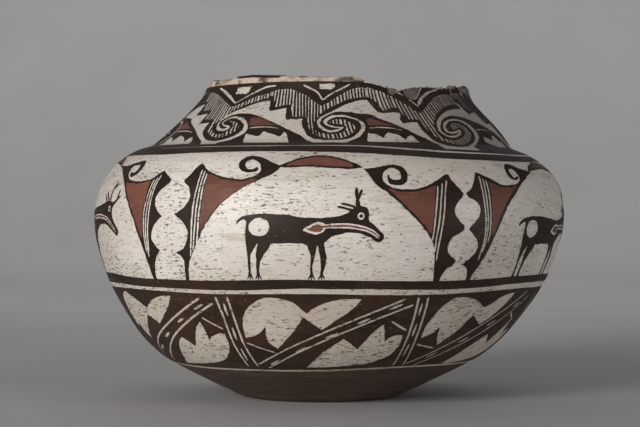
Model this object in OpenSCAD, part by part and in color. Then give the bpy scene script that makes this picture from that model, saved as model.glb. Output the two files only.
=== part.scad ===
// A coil-built water jar with a moulded, hollowed base, a round belly, a sloping neck and a chipped lip.
// The clay is three joined stages. Slip coats lie on the clay, and painted layers lie on the slip.
// Angles run from the front of the jar (-Y) towards +X. The jar stands on z = 0.

/* [Body] */
// Diameter at the widest
belly_d = 340; // [310:1:370]
// Height of the widest part
belly_z = 128; // [120:1:136]
// Height of the shoulder, from the widest part to the foot of the neck
shoulder_h = 52.5; // [48:0.5:58]
// Middle diameter of the ring that the jar rests on
ring_d = 98; // [90:1:110]
// Width of the flat of the resting ring
ring_w = 8; // [5:0.5:12]
// Depth of the hollow under the base
hollow_h = 12; // [8:0.5:16]
// Height at which the moulded base ends and the coiled wall begins
seam_z = 8; // [7:0.5:11]
// Degrees by which the jar leans to one side on its resting ring
lean = 1.5; // [0:0.1:2.5]

/* [Neck] */
// Diameter where the neck leaves the shoulder
neck_d = 268; // [256:1:284]
// Height of the neck, from its foot to the top of the lip
neck_h = 44.5; // [40:0.5:52]
// Outer diameter of the mouth
mouth_d = 186; // [170:1:200]
// Depth of the chipped stretch of the lip
chip_h = 9; // [4:0.5:12]
// Depth of the slip band inside the mouth
mouth_slip_h = 24; // [12:1:30]

/* [Layers] */
// Thickness of the clay wall
wall_t = 6.5; // [5:0.5:8]
// Thickness of the slip coats
slip_t = 0.5; // [0.4:0.05:0.8]
// Thickness of the painted layers
paint_t = 0.3; // [0.25:0.05:0.5]

/* [Bands] */
// Height of the lower edge of the white slip
slip_z = 26; // [22:0.5:30]
// Width of the white line below the lower band
foot_line_w = 2.5; // [1.5:0.5:4]
// Height of the dark lower band
field_h = 51; // [46:0.5:54]
// Width of the white line above the lower band
waist_gap_w = 4; // [2:0.5:6]
// Width of the dark line that the deer stand on
waist_w = 5.2; // [3:0.2:7]
// Width of the dark line round the shoulder
shoulder_w = 4.6; // [3:0.2:6]
// Width of the thin line above the shoulder line
thin_w = 1.3; // [0.8:0.1:2]
// Width of the white lines on both sides of the thin line
thin_gap_w = 1.2; // [0.8:0.1:2]
// Height of the bare lip above the painted neck
lip_bare_h = 4; // [3:0.5:6]
// Width of the dark line below the bare lip
rim_line_w = 1.6; // [1:0.2:3]

/* [Pattern counts] */
// Number of arched panels with a deer
houses = 5; // [5:1:6]
// Number of panels in the lower band
leaves = 7; // [7:1:8]
// Number of scrolls round the neck
scrolls = 9; // [9:1:10]

/* [Brush widths] */
// Width of a painted outline
outline_w = 0.9; // [0.6:0.1:1.2]
// Width of the white lines in the lower band
ray_w = 1.7; // [1:0.1:2.2]
// Width of a hatching stroke
hatch_w = 0.8; // [0.5:0.1:1]
// Width of a scroll's dark outline
scroll_w = 2; // [1.4:0.1:2.4]
// Gap between two hatching strokes
hatch_gap_w = 2.4; // [1.8:0.2:3.2]

/* [Hidden] */
$fn = 96;

slip_white = [0.80, 0.77, 0.73];
dark_paint = [0.22, 0.17, 0.15];
red_paint = [0.52, 0.30, 0.25];
brown_slip = [0.25, 0.18, 0.15];
clay_grey = [0.62, 0.56, 0.50];

belly_r = belly_d / 2;
ring_r = ring_d / 2;
neck_r = neck_d / 2;
mouth_r = mouth_d / 2;
lip_r = wall_t / 2;
neck_z = belly_z + shoulder_h;
jar_h = neck_z + neck_h;
lip_z = jar_h - lip_r;
field_z = slip_z + foot_line_w;
field_top = field_z + field_h;
waist_z = field_top + waist_gap_w;
ground_z = waist_z + waist_w;
thin_z = neck_z - thin_gap_w - thin_w;
shoulder_top = thin_z - thin_gap_w;
shoulder_z = shoulder_top - shoulder_w;
rim_line_top = jar_h - lip_bare_h;
rim_line_z = rim_line_top - rim_line_w;

// Shares of the way out from the ring to the belly, and up to the belly
underbody_shares = [[0, 0], [0.065, 0.012], [0.128, 0.044], [0.205, 0.08], [0.291, 0.116],
    [0.441, 0.183], [0.561, 0.252], [0.677, 0.354], [0.79, 0.49], [0.879, 0.625],
    [0.94, 0.76], [0.985, 0.9], [1, 1]];
// Shares of the way in from the belly to the neck, and up to the neck
shoulder_shares = [[0, 0], [0.014, 0.19], [0.086, 0.4], [0.206, 0.562], [0.375, 0.724],
    [0.639, 0.857], [1, 1]];
// Shares of the way in from the foot of the neck to the mouth, and up to the lip
neck_shares = [[0, 0], [0.122, 0.097], [0.293, 0.242], [0.454, 0.39], [0.659, 0.6],
    [0.841, 0.8], [0.951, 0.92], [1, 1]];
// Shares of the way out from the axis to the ring, and of the depth of the hollow
hollow_shares = [[0, 1], [0.35, 0.93], [0.65, 0.68], [0.85, 0.34], [1, 0]];

function mix(a, b, t) = a + (b - a) * t;
function curve_at(p, i, t) =
    let (a = p[max(i - 1, 0)], b = p[i], c = p[i + 1], d = p[min(i + 2, len(p) - 1)])
    ((2 * b) + (c - a) * t + (2 * a - 5 * b + 4 * c - d) * t * t + (3 * b - a - 3 * c + d) * t * t * t) / 2;
// A smooth closed curve through points
function loop_curve(p, n) =
    let (m = len(p), q = [for (i = [-1 : m + 1]) p[(i + m) % m]])
    [for (i = [1 : m]) for (j = [0 : n - 1]) curve_at(q, i, j / n)];
function reverse(p) = [for (i = [len(p) - 1 : -1 : 0]) p[i]];
function between(from, to, shares) =
    [for (s = shares) [mix(from[0], to[0], s[0]), mix(from[1], to[1], s[1])]];

// The clay's outer profile, from the resting ring up to the lip
function tail(p) = [for (i = [1 : len(p) - 1]) p[i]];
PROFILE = concat(
    between([ring_r + ring_w / 2, 0], [belly_r, belly_z], underbody_shares),
    tail(between([belly_r, belly_z], [neck_r, neck_z], shoulder_shares)),
    tail(between([neck_r, neck_z], [mouth_r, lip_z], neck_shares)));
last = len(PROFILE) - 1;
function unit(v) = v / norm(v);
function normal(i) =
    i == 0 ? [0, -1] : i == last ? [1, 0] :
    let (t = unit(PROFILE[i + 1] - PROFILE[i - 1])) [t[1], -t[0]];
NORMALS = [for (i = [0 : last]) normal(i)];
// The place along the profile at a height
function place(z) = let (i = max([for (j = [0 : last - 1]) if (PROFILE[j][1] <= z) j]))
    i + min(1, (z - PROFILE[i][1]) / (PROFILE[i + 1][1] - PROFILE[i][1]));
// The point at a place, a distance off the clay
function off(s, d) = let (i = min(floor(s), last - 1), t = s - i)
    mix(PROFILE[i] + d * NORMALS[i], PROFILE[i + 1] + d * NORMALS[i + 1], t);
function run(s0, s1, d) =
    concat([off(s0, d)], [for (i = [floor(s0) + 1 : ceil(s1) - 1]) off(i, d)], [off(s1, d)]);
// The outer radius at a height
function radius(z) = off(place(z), 0)[0];

// The whole jar leans as one, and its resting ring is ground flat where it stands
ground_wear = 0.4;
coat_t = slip_t + paint_t;
x_low = min([for (p = PROFILE) p[1] * sin(lean) - (p[0] + coat_t) * cos(lean)]);
x_high = max([for (p = PROFILE) p[1] * sin(lean) + (p[0] + coat_t) * cos(lean)]);
ground_cut = (ring_r + ring_w / 2) * sin(lean) + ground_wear;
module leaned() {
    translate([-(x_low + x_high) / 2, 0, -ground_cut]) rotate([0, lean, 0]) children();
}

// A layer from one distance off the clay to another, between two heights
module layer(z0, z1, d0, d1) {
    rotate_extrude() polygon(concat(run(place(z0), place(z1), d0), reverse(run(place(z0), place(z1), d1))));
}
// The same over a sector that is centred on an angle
module sector(z0, z1, d0, d1, at, half) {
    rotate([0, 0, at - half - 90]) rotate_extrude(angle = 2 * half)
        polygon(concat(run(place(z0), place(z1), d0), reverse(run(place(z0), place(z1), d1))));
}
// A drawing in angle and height, as it shows from straight in front
function facing(points) = [for (p = points) [radius(p[1]) * sin(p[0]), p[1]]];
module through(at, points) {
    rotate([0, 0, at]) rotate([90, 0, 0]) linear_extrude(belly_d) polygon(facing(points));
}
// Paint in the outline of the points, on the slip
module stroke(at, half, z0, z1, points) {
    intersection() {
        sector(z0, z1, slip_t, coat_t, at, half);
        through(at, points);
    }
}
function oval(c, ra, rz, n) = [for (i = [0 : n - 1]) [c[0] + ra * cos(360 * i / n), c[1] + rz * sin(360 * i / n)]];

// Clay
function seam_inside(z) = let (i = max([for (j = [0 : last - 1]) if (off(j, -wall_t)[1] <= z) j]))
    i + (z - off(i, -wall_t)[1]) / (off(i + 1, -wall_t)[1] - off(i, -wall_t)[1]);
module puki_base() {
    hollow = between([0, 0], [ring_r - ring_w / 2, hollow_h], hollow_shares);
    color(clay_grey) difference() {
        leaned() rotate_extrude() polygon(concat(
            hollow,
            run(0, place(seam_z), 0),
            reverse(run(0, seam_inside(seam_z), -wall_t)),
            reverse([for (p = hollow) [p[0], p[1] + wall_t]])));
        translate([-belly_d / 2, -belly_d / 2, -belly_d]) cube(belly_d);
    }
}
module body_wall() {
    color(clay_grey) leaned() rotate_extrude() polygon(concat(
        run(place(seam_z), place(neck_z), 0),
        reverse(run(seam_inside(seam_z), place(neck_z), -wall_t))));
}
module neck_wall() {
    lip = [for (i = [1 : 7]) [mouth_r - lip_r + lip_r * cos(22.5 * i), lip_z + lip_r * sin(22.5 * i)]];
    color(clay_grey) leaned() difference() {
        rotate_extrude() polygon(concat(
            run(place(neck_z), last, 0), lip, reverse(run(place(neck_z), last, -wall_t))));
        lip_chip();
    }
}

// The chipped stretch of the lip: shares of its width, and of its depth
chip_at = 38;
chip_half = 27;
chip_shares = [[-1, -0.3], [-0.95, 0.3], [-0.84, 0.62], [-0.66, 0.8], [-0.52, 0.78], [-0.42, 1],
    [-0.28, 0.84], [-0.1, 0.76], [0.14, 0.7], [0.42, 0.66], [0.62, 0.74], [0.8, 0.6],
    [0.87, 0.25], [1, -0.3]];
module lip_chip() {
    rotate([0, 0, chip_at]) rotate([90, 0, 0]) linear_extrude(belly_d)
        polygon([for (s = chip_shares) [mouth_r * sin(chip_half * s[0]), jar_h - chip_h * s[1]]]);
}

// Slip coats
module underbody_slip() {
    color(brown_slip) leaned() layer(seam_z, slip_z, 0, slip_t);
}
module body_slip() {
    color(slip_white) leaned() layer(slip_z, neck_z, 0, slip_t);
}
module neck_slip() {
    color(slip_white) leaned() difference() {
        layer(neck_z, rim_line_top, 0, slip_t);
        lip_chip();
    }
}
module mouth_slip() {
    color(brown_slip) leaned() difference() {
        layer(jar_h - lip_bare_h - mouth_slip_h, rim_line_top, -wall_t - slip_t, -wall_t);
        lip_chip();
    }
}
// The worn dark paint on top of the lip
rim_paint_half = 40;
rim_paint_at = -32;
module rim_paint() {
    outer_r = lip_r + paint_t;
    color(dark_paint) leaned() rotate([0, 0, rim_paint_at - rim_paint_half - 90])
        rotate_extrude(angle = 2 * rim_paint_half) translate([mouth_r - lip_r, lip_z])
            polygon(concat(
                [for (i = [2 : 6]) [lip_r * cos(22.5 * i), lip_r * sin(22.5 * i)]],
                [for (i = [6 : -1 : 2]) [outer_r * cos(22.5 * i), outer_r * sin(22.5 * i)]]));
}

// Framing lines
module waist_line() {
    color(dark_paint) leaned() layer(waist_z, ground_z, slip_t, coat_t);
}
module shoulder_line() {
    color(dark_paint) leaned() layer(shoulder_z, shoulder_top, slip_t, coat_t);
}
module thin_line() {
    color(dark_paint) leaned() layer(thin_z, thin_z + thin_w, slip_t, coat_t);
}

// Lower band: shares of a panel's half width, and of the band's height
leaf_half = 180 / leaves;
leaf_at = -1.3;
upper_leaf_shares = [[-0.76, 0.42], [-0.8, 0.6], [-0.72, 0.8], [-0.52, 0.945], [-0.3, 0.9], [-0.12, 0.73],
    [0.04, 0.86], [0.3, 0.94], [0.2, 0.73], [0.02, 0.52], [-0.15, 0.66], [-0.2, 0.62],
    [-0.32, 0.4], [-0.47, 0.25], [-0.56, 0.4], [-0.57, 0.56], [-0.66, 0.45]];
lower_leaf_shares = [[-0.14, 0.02], [0.06, 0.24], [0.22, 0.4], [0.32, 0.36], [0.44, 0.26],
    [0.54, 0.42], [0.62, 0.6], [0.68, 0.48], [0.7, 0.38], [0.78, 0.455], [0.865, 0.45],
    [0.88, 0.3], [0.82, 0.15], [0.62, 0.05], [0.25, 0.02]];
post_gap_share = 0.055;
line_over_share = 0.03;
ray_from_share = [-0.73, 0.03];
ray_to_share = [0.83, 0.93];
ray_gap_share = 0.12;
dash_count = 4;
function in_leaf(points) = [for (p = points) [leaf_half * p[0], mix(field_z, field_top, p[1])]];
// A straight white line of the ray's width, as degrees on both sides of its middle
function ray_half(z) = asin(ray_w / 2 / radius(z));
function ray(a, b) = let (p = in_leaf([a, mix(a, b, 0.33), mix(a, b, 0.67), b]))
    concat([for (q = p) [q[0] - ray_half(q[1]), q[1]]], reverse([for (q = p) [q[0] + ray_half(q[1]), q[1]]]));
function dash(a, b, t) = let (p = mix(a, b, t - 0.05), q = mix(a, b, t + 0.05), w = post_gap_share / 3)
    in_leaf([p, mix(p, q, 0.4) + [-w, 0], q, mix(p, q, 0.6) + [w, 0]]);
module leaf_cuts() {
    low = ray_from_share;
    high = ray_to_share;
    through(0, in_leaf(loop_curve(upper_leaf_shares, 2)));
    through(0, in_leaf(loop_curve(lower_leaf_shares, 2)));
    for (d = [-0.5, 0.5])
        through(0, ray(low + [d * ray_gap_share, -d * ray_gap_share / 3],
            high + [d * ray_gap_share, -d * ray_gap_share / 3]));
    for (i = [1 : dash_count])
        through(0, dash(low, high, i / (dash_count + 0.6)));
}
// The two white lines of the post on the left, and the first one of the next post
module post_cuts() {
    for (share = [-1 - post_gap_share, -1 + post_gap_share, 1 - post_gap_share])
        through(0, ray([share, -line_over_share], [share, 1 + line_over_share]));
    for (i = [1 : 3])
        through(0, dash([-1, 0], [-1, 1], i / 4));
}
module lower_band_paint() {
    color(dark_paint) leaned() for (i = [0 : leaves - 1])
        rotate([0, 0, leaf_at + 2 * leaf_half * i]) difference() {
            sector(field_z, field_top, slip_t, coat_t, -leaf_half * post_gap_share, leaf_half);
            leaf_cuts();
            post_cuts();
        }
}

// Arched panels: shares of a panel's half width, and of the height from the waist line to the shoulder line
house_half = 180 / houses;
house_at = -3.8;
zone_h = shoulder_z - ground_z;
arch_shares = [[0.835, 0], [0.815, 0.1], [0.79, 0.2], [0.755, 0.3], [0.7, 0.4], [0.635, 0.5],
    [0.56, 0.6], [0.455, 0.7], [0.36, 0.79], [0.28, 0.87]];
column_shares = [[0.875, 0], [0.86, 0.07], [0.935, 0.18], [0.85, 0.3], [0.855, 0.4], [0.95, 0.48],
    [0.86, 0.58], [0.86, 0.68], [0.94, 0.76]];
drape_shares = [[0.865, 0.875], [0.8, 0.835], [0.72, 0.795], [0.64, 0.773], [0.56, 0.762], [0.48, 0.766],
    [0.42, 0.785], [0.385, 0.83], [0.38, 0.87]];
fill_shares = [[0.735, 0.788], [0.64, 0.76], [0.56, 0.749], [0.48, 0.753], [0.43, 0.76],
    [0.475, 0.7], [0.575, 0.6], [0.65, 0.5], [0.713, 0.4], [0.745, 0.33]];
fringe_shares = [[0.755, 0.79], [0.748, 0.5], [0.785, 0.16]];
fringe_gap_share = 0.026;
volute_shares = [0.46, 0.875];
volute_r_share = 0.075;
function in_house(points) = [for (p = points) [house_half * p[0], mix(ground_z, shoulder_z, p[1])]];
function scallops(p) = [for (i = [0 : len(p) - 2]) for (j = [0 : 1]) mix(p[i], p[i + 1], j / 2)];
// A spiral band that tapers to its tip: angles, radii at both ends and half widths, all in shares
function spiral(c, a0, a1, r0, r1, w0, w1, n, squash) =
    let (arm = function (side) [for (i = [0 : n]) let (t = i / n, a = mix(a0, a1, t),
        r = mix(r0, r1, t) + side * mix(w0, w1, t)) [c[0] + r * cos(a), c[1] + r * sin(a) * squash]])
    concat(arm(1), reverse(arm(-1)));
module both_sides(at) {
    rotate([0, 0, at]) children();
    rotate([0, 0, at]) mirror([1, 0, 0]) children();
}
function strip(p, w) = concat([for (q = p) [q[0] - w, q[1]]], reverse([for (q = p) [q[0] + w, q[1]]]));
module curtain_cut() {
    through(0, in_house(fill_shares));
    for (i = [0 : 2])
        through(0, in_house(strip([for (p = fringe_shares) [p[0] + i * fringe_gap_share * p[1] / 0.79, p[1]]],
            fringe_gap_share / 4)));
}
module curtain_paint() {
    whole = concat(arch_shares, reverse(drape_shares), reverse(scallops(column_shares)));
    hook = spiral(volute_shares, 190, -160, volute_r_share, volute_r_share * 0.5,
        volute_r_share * 0.24, volute_r_share * 0.12, 14, 0.8);
    color(dark_paint) leaned() for (i = [0 : houses - 1])
        both_sides(house_at + 2 * house_half * i) difference() {
            intersection() {
                sector(ground_z, shoulder_z, slip_t, coat_t, house_half / 2, house_half / 2);
                union() {
                    through(0, in_house(whole));
                    through(0, in_house(hook));
                }
            }
            curtain_cut();
        }
}
module curtain_red() {
    color(red_paint) leaned() for (i = [0 : houses - 1])
        both_sides(house_at + 2 * house_half * i)
            stroke(0, house_half, ground_z, shoulder_z, in_house(fill_shares));
}

// The lens over each arch, and its red middle
crescent_shares = [[-0.34, 0.86], [-0.25, 0.9], [-0.14, 0.95], [0, 0.97], [0.14, 0.95], [0.25, 0.9], [0.34, 0.86],
    [0.22, 0.868], [0.1, 0.88], [-0.1, 0.88], [-0.22, 0.868]];
crescent_red_shares = [[-0.24, 0.882], [-0.13, 0.93], [0, 0.95], [0.13, 0.93], [0.24, 0.882],
    [0.1, 0.893], [-0.1, 0.893]];
module arch_crescents() {
    color(dark_paint) leaned() for (i = [0 : houses - 1])
        difference() {
            stroke(house_at + 2 * house_half * i, house_half / 2, ground_z, shoulder_z,
                in_house(crescent_shares));
            through(house_at + 2 * house_half * i, in_house(crescent_red_shares));
        }
}
module arch_red() {
    color(red_paint) leaned() for (i = [0 : houses - 1])
        stroke(house_at + 2 * house_half * i, house_half / 2, ground_z, shoulder_z,
            in_house(crescent_red_shares));
}

// A deer walking to the right, in shares of a panel's half width and height
deer_back_shares = [[-0.38, 0.503], [-0.297, 0.511], [-0.172, 0.5], [-0.05, 0.48], [0.053, 0.48],
    [0.14, 0.489], [0.21, 0.519], [0.24, 0.548], [0.286, 0.564], [0.331, 0.545], [0.344, 0.497],
    [0.345, 0.45], [0.383, 0.409], [0.422, 0.375], [0.439, 0.337], [0.428, 0.302], [0.408, 0.296],
    [0.389, 0.32], [0.356, 0.341], [0.306, 0.36], [0.244, 0.371], [0.183, 0.365], [0.122, 0.337],
    [0.086, 0.3]];
deer_front_leg_shares = [[0.09, 0.17], [0.075, 0.13], [0.069, 0.06], [0.084, 0], [0.047, 0], [0.053, 0.06],
    [0.055, 0.13], [0.05, 0.17], [0.031, 0.272], [0.014, 0.17], [0.01, 0.13], [0.01, 0.06], [0.02, 0],
    [-0.02, 0], [-0.01, 0.06], [-0.008, 0.13], [-0.013, 0.17], [-0.03, 0.265]];
deer_belly_shares = [[-0.061, 0.288], [-0.172, 0.288], [-0.26, 0.292]];
deer_hind_leg_shares = [[-0.264, 0.255], [-0.303, 0.193], [-0.328, 0.155], [-0.336, 0.06], [-0.325, 0],
    [-0.361, 0], [-0.356, 0.06], [-0.352, 0.155], [-0.344, 0.22], [-0.339, 0.286], [-0.378, 0.218],
    [-0.388, 0.155], [-0.388, 0.06], [-0.378, 0], [-0.411, 0], [-0.408, 0.06], [-0.408, 0.155],
    [-0.41, 0.26], [-0.417, 0.337], [-0.41, 0.417], [-0.4, 0.455]];
deer_tail_shares = [[-0.45, 0.462], [-0.47, 0.427], [-0.483, 0.427], [-0.465, 0.47], [-0.42, 0.497]];
antler_shares = [
    [[0.262, 0.54], [0.255, 0.62], [0.258, 0.7], [0.268, 0.702], [0.28, 0.64], [0.305, 0.7], [0.316, 0.695],
        [0.288, 0.61], [0.29, 0.55]],
    [[0.25, 0.54], [0.2, 0.572], [0.154, 0.562], [0.152, 0.575], [0.195, 0.588], [0.166, 0.6],
        [0.172, 0.61], [0.26, 0.575]]];
rump_share = [-0.326, 0.408];
rump_r_shares = [0.062, 0.068];
eye_share = [0.292, 0.5];
eye_r_shares = [0.02, 0.018];
heart_share = [0.02, 0.405];
heart_r_shares = [0.045, 0.045];
// The line from the heart to the mouth, and its half width
heartline_shares = [[0.045, 0.425], [0.13, 0.44], [0.22, 0.437], [0.3, 0.415], [0.355, 0.375], [0.4, 0.32]];
heartline_w_share = 0.016;
function band(p, w) = concat([for (q = p) [q[0], q[1] + w]], reverse([for (q = p) [q[0], q[1] - w]]));
module deer_paint() {
    outline = concat(deer_back_shares, deer_front_leg_shares, deer_belly_shares, deer_hind_leg_shares,
        deer_tail_shares);
    color(dark_paint) leaned() for (i = [0 : houses - 1])
        rotate([0, 0, house_at + 2 * house_half * i]) difference() {
            intersection() {
                sector(ground_z, shoulder_z, slip_t, coat_t, 0, house_half * 0.6);
                union() {
                    through(0, in_house(outline));
                    for (a = antler_shares)
                        through(0, in_house(a));
                }
            }
            through(0, in_house(oval(rump_share, rump_r_shares[0], rump_r_shares[1], 14)));
            through(0, in_house(oval(eye_share, eye_r_shares[0], eye_r_shares[1], 10)));
            through(0, in_house(oval(heart_share, heart_r_shares[0], heart_r_shares[1], 12)));
            through(0, in_house(band(heartline_shares, heartline_w_share)));
        }
}
module heartlines() {
    color(red_paint) leaned() for (i = [0 : houses - 1])
        rotate([0, 0, house_at + 2 * house_half * i]) intersection() {
            sector(ground_z, shoulder_z, slip_t, coat_t, house_half / 4, house_half / 3);
            union() {
                through(0, in_house(oval(heart_share, heart_r_shares[0] * 0.7, heart_r_shares[1] * 0.7, 12)));
                through(0, in_house(band(heartline_shares, heartline_w_share * 0.4)));
            }
        }
}

// Neck: shares of half the pitch of the scrolls, and of the height from the foot of the neck to the rim line
scroll_half = 180 / scrolls;
scroll_at = 0.5;
scroll_middle_share = [0, 0.245];
scroll_r_shares = [0.4, 0.07];
scroll_squash_share = 0.5;
scroll_turns = 1.55;
stair_shares = [[-1.9, 0.6], [-1.65, 0.69], [-1.4, 0.75], [-1.25, 0.766], [-1.2, 0.67], [-1.15, 0.563],
    [-1.02, 0.584], [-0.875, 0.62], [-0.825, 0.514], [-0.76, 0.388], [-0.62, 0.38], [-0.5, 0.393],
    [-0.45, 0.3]];
pendant_shares = [[-0.98, 1], [-0.66, 0.86], [-0.42, 0.72], [-0.25, 0.6], [-0.1, 0.73], [0.12, 0.85],
    [0.45, 1]];
vee_shares = [[-0.7, 1.02], [-0.47, 0.86], [-0.33, 0.77], [-0.25, 0.68], [-0.15, 0.77], [0, 0.86],
    [0.25, 1.02]];
lozenge_shares = [[-0.35, 0.98], [-0.08, 0.98], [-0.13, 0.87], [-0.32, 0.87]];
wedge_shares = [[0.42, 0.46], [0.66, 0.425], [0.98, 0.295], [1.26, 0.17], [1.5, 0.01], [1.28, 0.01],
    [1.165, 0.16], [1.125, 0.07], [0.83, 0.19], [0.78, 0.085], [0.57, 0.145], [0.61, 0.01], [0.46, 0.01],
    [0.5, 0.1], [0.53, 0.21], [0.515, 0.3], [0.47, 0.39]];
wedge_red_shares = [[0.54, 0.268], [0.9, 0.27], [0.705, 0.37], [0.5, 0.395]];
wedge_line_shares = [[0.54, 0.228], [0.8, 0.24], [1.02, 0.235]];
hatch_shares = [[-1.8, 0.71], [-1.62, 0.8], [-1.32, 0.92], [-1.1, 0.94], [-0.84, 0.885], [-0.6, 0.78],
    [-0.4, 0.66], [-0.3, 0.56], [-0.42, 0.28], [-0.45, 0.44], [-0.72, 0.44], [-0.8, 0.67], [-1.1, 0.62],
    [-1.2, 0.82], [-1.45, 0.8], [-1.7, 0.72]];
function in_neck(points) = [for (p = points) [scroll_half * p[0], mix(neck_z, rim_line_z, p[1])]];
module through_flat(at, points) {
    rotate([0, 0, at]) rotate([90, 0, 0]) linear_extrude(belly_d) polygon(points);
}
// The outline of one brush stroke of a width along a line of points
function side(p, i) = let (t = unit(p[min(i + 1, len(p) - 1)] - p[max(i - 1, 0)])) [-t[1], t[0]];
function brush(points, w) = let (p = facing(points))
    concat([for (i = [0 : len(p) - 1]) p[i] + side(p, i) * w / 2],
        reverse([for (i = [0 : len(p) - 1]) p[i] - side(p, i) * w / 2]));
// A curl round the middle of a scroll, from one radius to another
function curl(from, turns, r0, r1, n) = [for (i = [0 : n])
    let (a = from + 360 * turns * i / n, r = mix(r0, r1, i / n))
    scroll_middle_share + [r * cos(a), r * sin(a) * scroll_squash_share]];
module scroll_cut(at) {
    outer = curl(150, scroll_turns, scroll_r_shares[0], scroll_r_shares[1], 22);
    inner = curl(330, scroll_turns - 0.5, scroll_r_shares[0] * 0.84, scroll_r_shares[1], 16);
    union() {
        through_flat(at, brush(in_neck(concat(stair_shares, outer)), scroll_w));
        through_flat(at, brush(in_neck(inner), scroll_w / 2));
    }
}
module neck_scrolls() {
    color(dark_paint) leaned() for (i = [0 : scrolls - 1])
        rotate([0, 0, scroll_at + 2 * scroll_half * i]) intersection() {
            sector(neck_z, rim_line_z, slip_t, coat_t, -scroll_half * 0.7, scroll_half * 1.5);
            scroll_cut(0);
        }
}
module neck_hatching() {
    pitch = hatch_w + hatch_gap_w;
    count = floor(1.5 * scroll_half * radius((neck_z + rim_line_z) / 2) * PI / 180 / pitch);
    color(dark_paint) leaned() for (i = [0 : scrolls - 1])
        rotate([0, 0, scroll_at + 2 * scroll_half * (i - 0.5)]) intersection() {
            sector(neck_z, rim_line_z, slip_t, coat_t, 0, scroll_half * 0.9);
            rotate([90, 0, 0]) linear_extrude(belly_d) intersection() {
                polygon(facing(in_neck([for (p = hatch_shares) p + [1, 0]])));
                for (j = [-count / 2 : count / 2])
                    translate([j * pitch, neck_z]) square([hatch_w, rim_line_z - neck_z]);
            }
        }
}
module neck_wedges() {
    color(dark_paint) leaned() for (i = [0 : scrolls - 1])
        rotate([0, 0, scroll_at + 2 * scroll_half * (i + 0.5)]) difference() {
            stroke(0, scroll_half, neck_z, rim_line_z, in_neck([for (p = wedge_shares) p - [1, 0]]));
            through(0, in_neck([for (p = wedge_red_shares) p - [1, 0]]));
            through_flat(0, brush(in_neck([for (p = wedge_line_shares) p - [1, 0]]), outline_w));
        }
}
module neck_wedge_red() {
    color(red_paint) leaned() for (i = [0 : scrolls - 1])
        stroke(scroll_at + 2 * scroll_half * (i + 0.5), scroll_half, neck_z, rim_line_z,
            in_neck([for (p = wedge_red_shares) p - [1, 0]]));
}
module rim_line() {
    color(dark_paint) leaned() difference() {
        layer(rim_line_z, rim_line_top, slip_t, coat_t);
        lip_chip();
    }
}
module rim_pendants() {
    color(dark_paint) leaned() difference() {
        for (i = [0 : scrolls - 1])
            rotate([0, 0, scroll_at + 2 * scroll_half * i]) difference() {
                stroke(0, scroll_half, neck_z, rim_line_z, in_neck(pendant_shares));
                through_flat(0, brush(in_neck(vee_shares), ray_w));
                through(0, in_neck(lozenge_shares));
            }
        lip_chip();
    }
}

puki_base();
body_wall();
neck_wall();
underbody_slip();
body_slip();
neck_slip();
mouth_slip();
rim_paint();
lower_band_paint();
waist_line();
shoulder_line();
thin_line();
rim_line();
curtain_paint();
curtain_red();
arch_crescents();
arch_red();
deer_paint();
heartlines();
neck_scrolls();
neck_hatching();
neck_wedges();
neck_wedge_red();
rim_pendants();
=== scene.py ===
"""The looks of a hand-painted water jar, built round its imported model.

Drawings are in degrees round the jar, from its front (-Y) towards +X, and millimetres of height.
Blender's own objects are in metres.
"""

import math

import bmesh
import bpy
import numpy as np
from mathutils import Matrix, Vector
from mathutils.geometry import delaunay_2d_cdt


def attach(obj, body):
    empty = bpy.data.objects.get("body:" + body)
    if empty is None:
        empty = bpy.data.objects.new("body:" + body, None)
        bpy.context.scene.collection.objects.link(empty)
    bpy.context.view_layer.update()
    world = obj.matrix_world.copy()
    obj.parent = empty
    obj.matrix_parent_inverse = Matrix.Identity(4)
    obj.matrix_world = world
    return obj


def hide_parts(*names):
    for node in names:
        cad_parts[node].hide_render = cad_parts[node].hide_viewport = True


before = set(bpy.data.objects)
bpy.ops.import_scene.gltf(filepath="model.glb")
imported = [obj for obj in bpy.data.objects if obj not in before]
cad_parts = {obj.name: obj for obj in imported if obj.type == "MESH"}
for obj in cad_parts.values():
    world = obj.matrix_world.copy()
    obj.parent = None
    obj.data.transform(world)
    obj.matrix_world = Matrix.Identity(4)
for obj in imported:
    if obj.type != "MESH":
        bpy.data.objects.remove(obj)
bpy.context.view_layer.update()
MM = 0.001

# The jar's form, in millimetres: outer radius and height, from the resting ring to the lip
PROFILE = [(50, 0), (59, 2), (67, 6), (84.2, 14.6), (101.7, 23.4), (116.1, 32.2), (130.6, 45.3),
           (143.7, 62.7), (154.4, 80), (161.7, 97.3), (166.9, 115), (168.6, 128), (168.1, 138), (165.5, 149),
           (160.9, 157.5), (154.2, 166), (145.2, 173), (138.8, 176.6), (129.6, 180.3), (125.2, 184),
           (112.6, 196.6), (104.1, 205.3), (97.3, 213.5), (95, 219), (94, 222), (93.7, 225)]
# How far the hand-built wall drifts to one side on its way up: height and drift
DRIFT = [(0, 0), (20, 0.7), (45, 2.3), (75, 4.5), (110, 6), (150, 7.3), (172, 7.2), (182, 9.5), (195, 11.1),
         (212, 11.6), (225, 13.2)]
FOOT_X = -6.2
WALL = 6.5
SEAM_Z = 8
NECK_Z = 180.3
LIP_Z = 225
LIP_R = WALL / 2
# The shoulder's corner sags towards the right: height of the corner and how far from it the sag is felt
SAG_Z, SAG_REACH = 177, 9
# Hollow under the base: radius and height
HOLLOW = [(0, 12), (16, 11.2), (30, 8), (39, 3.6), (45, 0)]
SLIP = 0.5
PAINT = 0.2
LINE_PAINT = 0.28
# The lip's waves: degrees and height added to the crest
LIP_WAVES = [(-180, 1.2), (-140, 1.7), (-100, 2.5), (-80, 2.8), (-70, 2.6), (-60, 1.9), (-53, 1.9),
             (-50, 2.8), (-40, 3.2), (-30, 2.4), (-20, 1.6), (-10, 0.9), (0, 0.6), (8, 0.2), (20, 0), (80, 0),
             (100, 0.3), (140, 0.8), (180, 1.2)]
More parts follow.
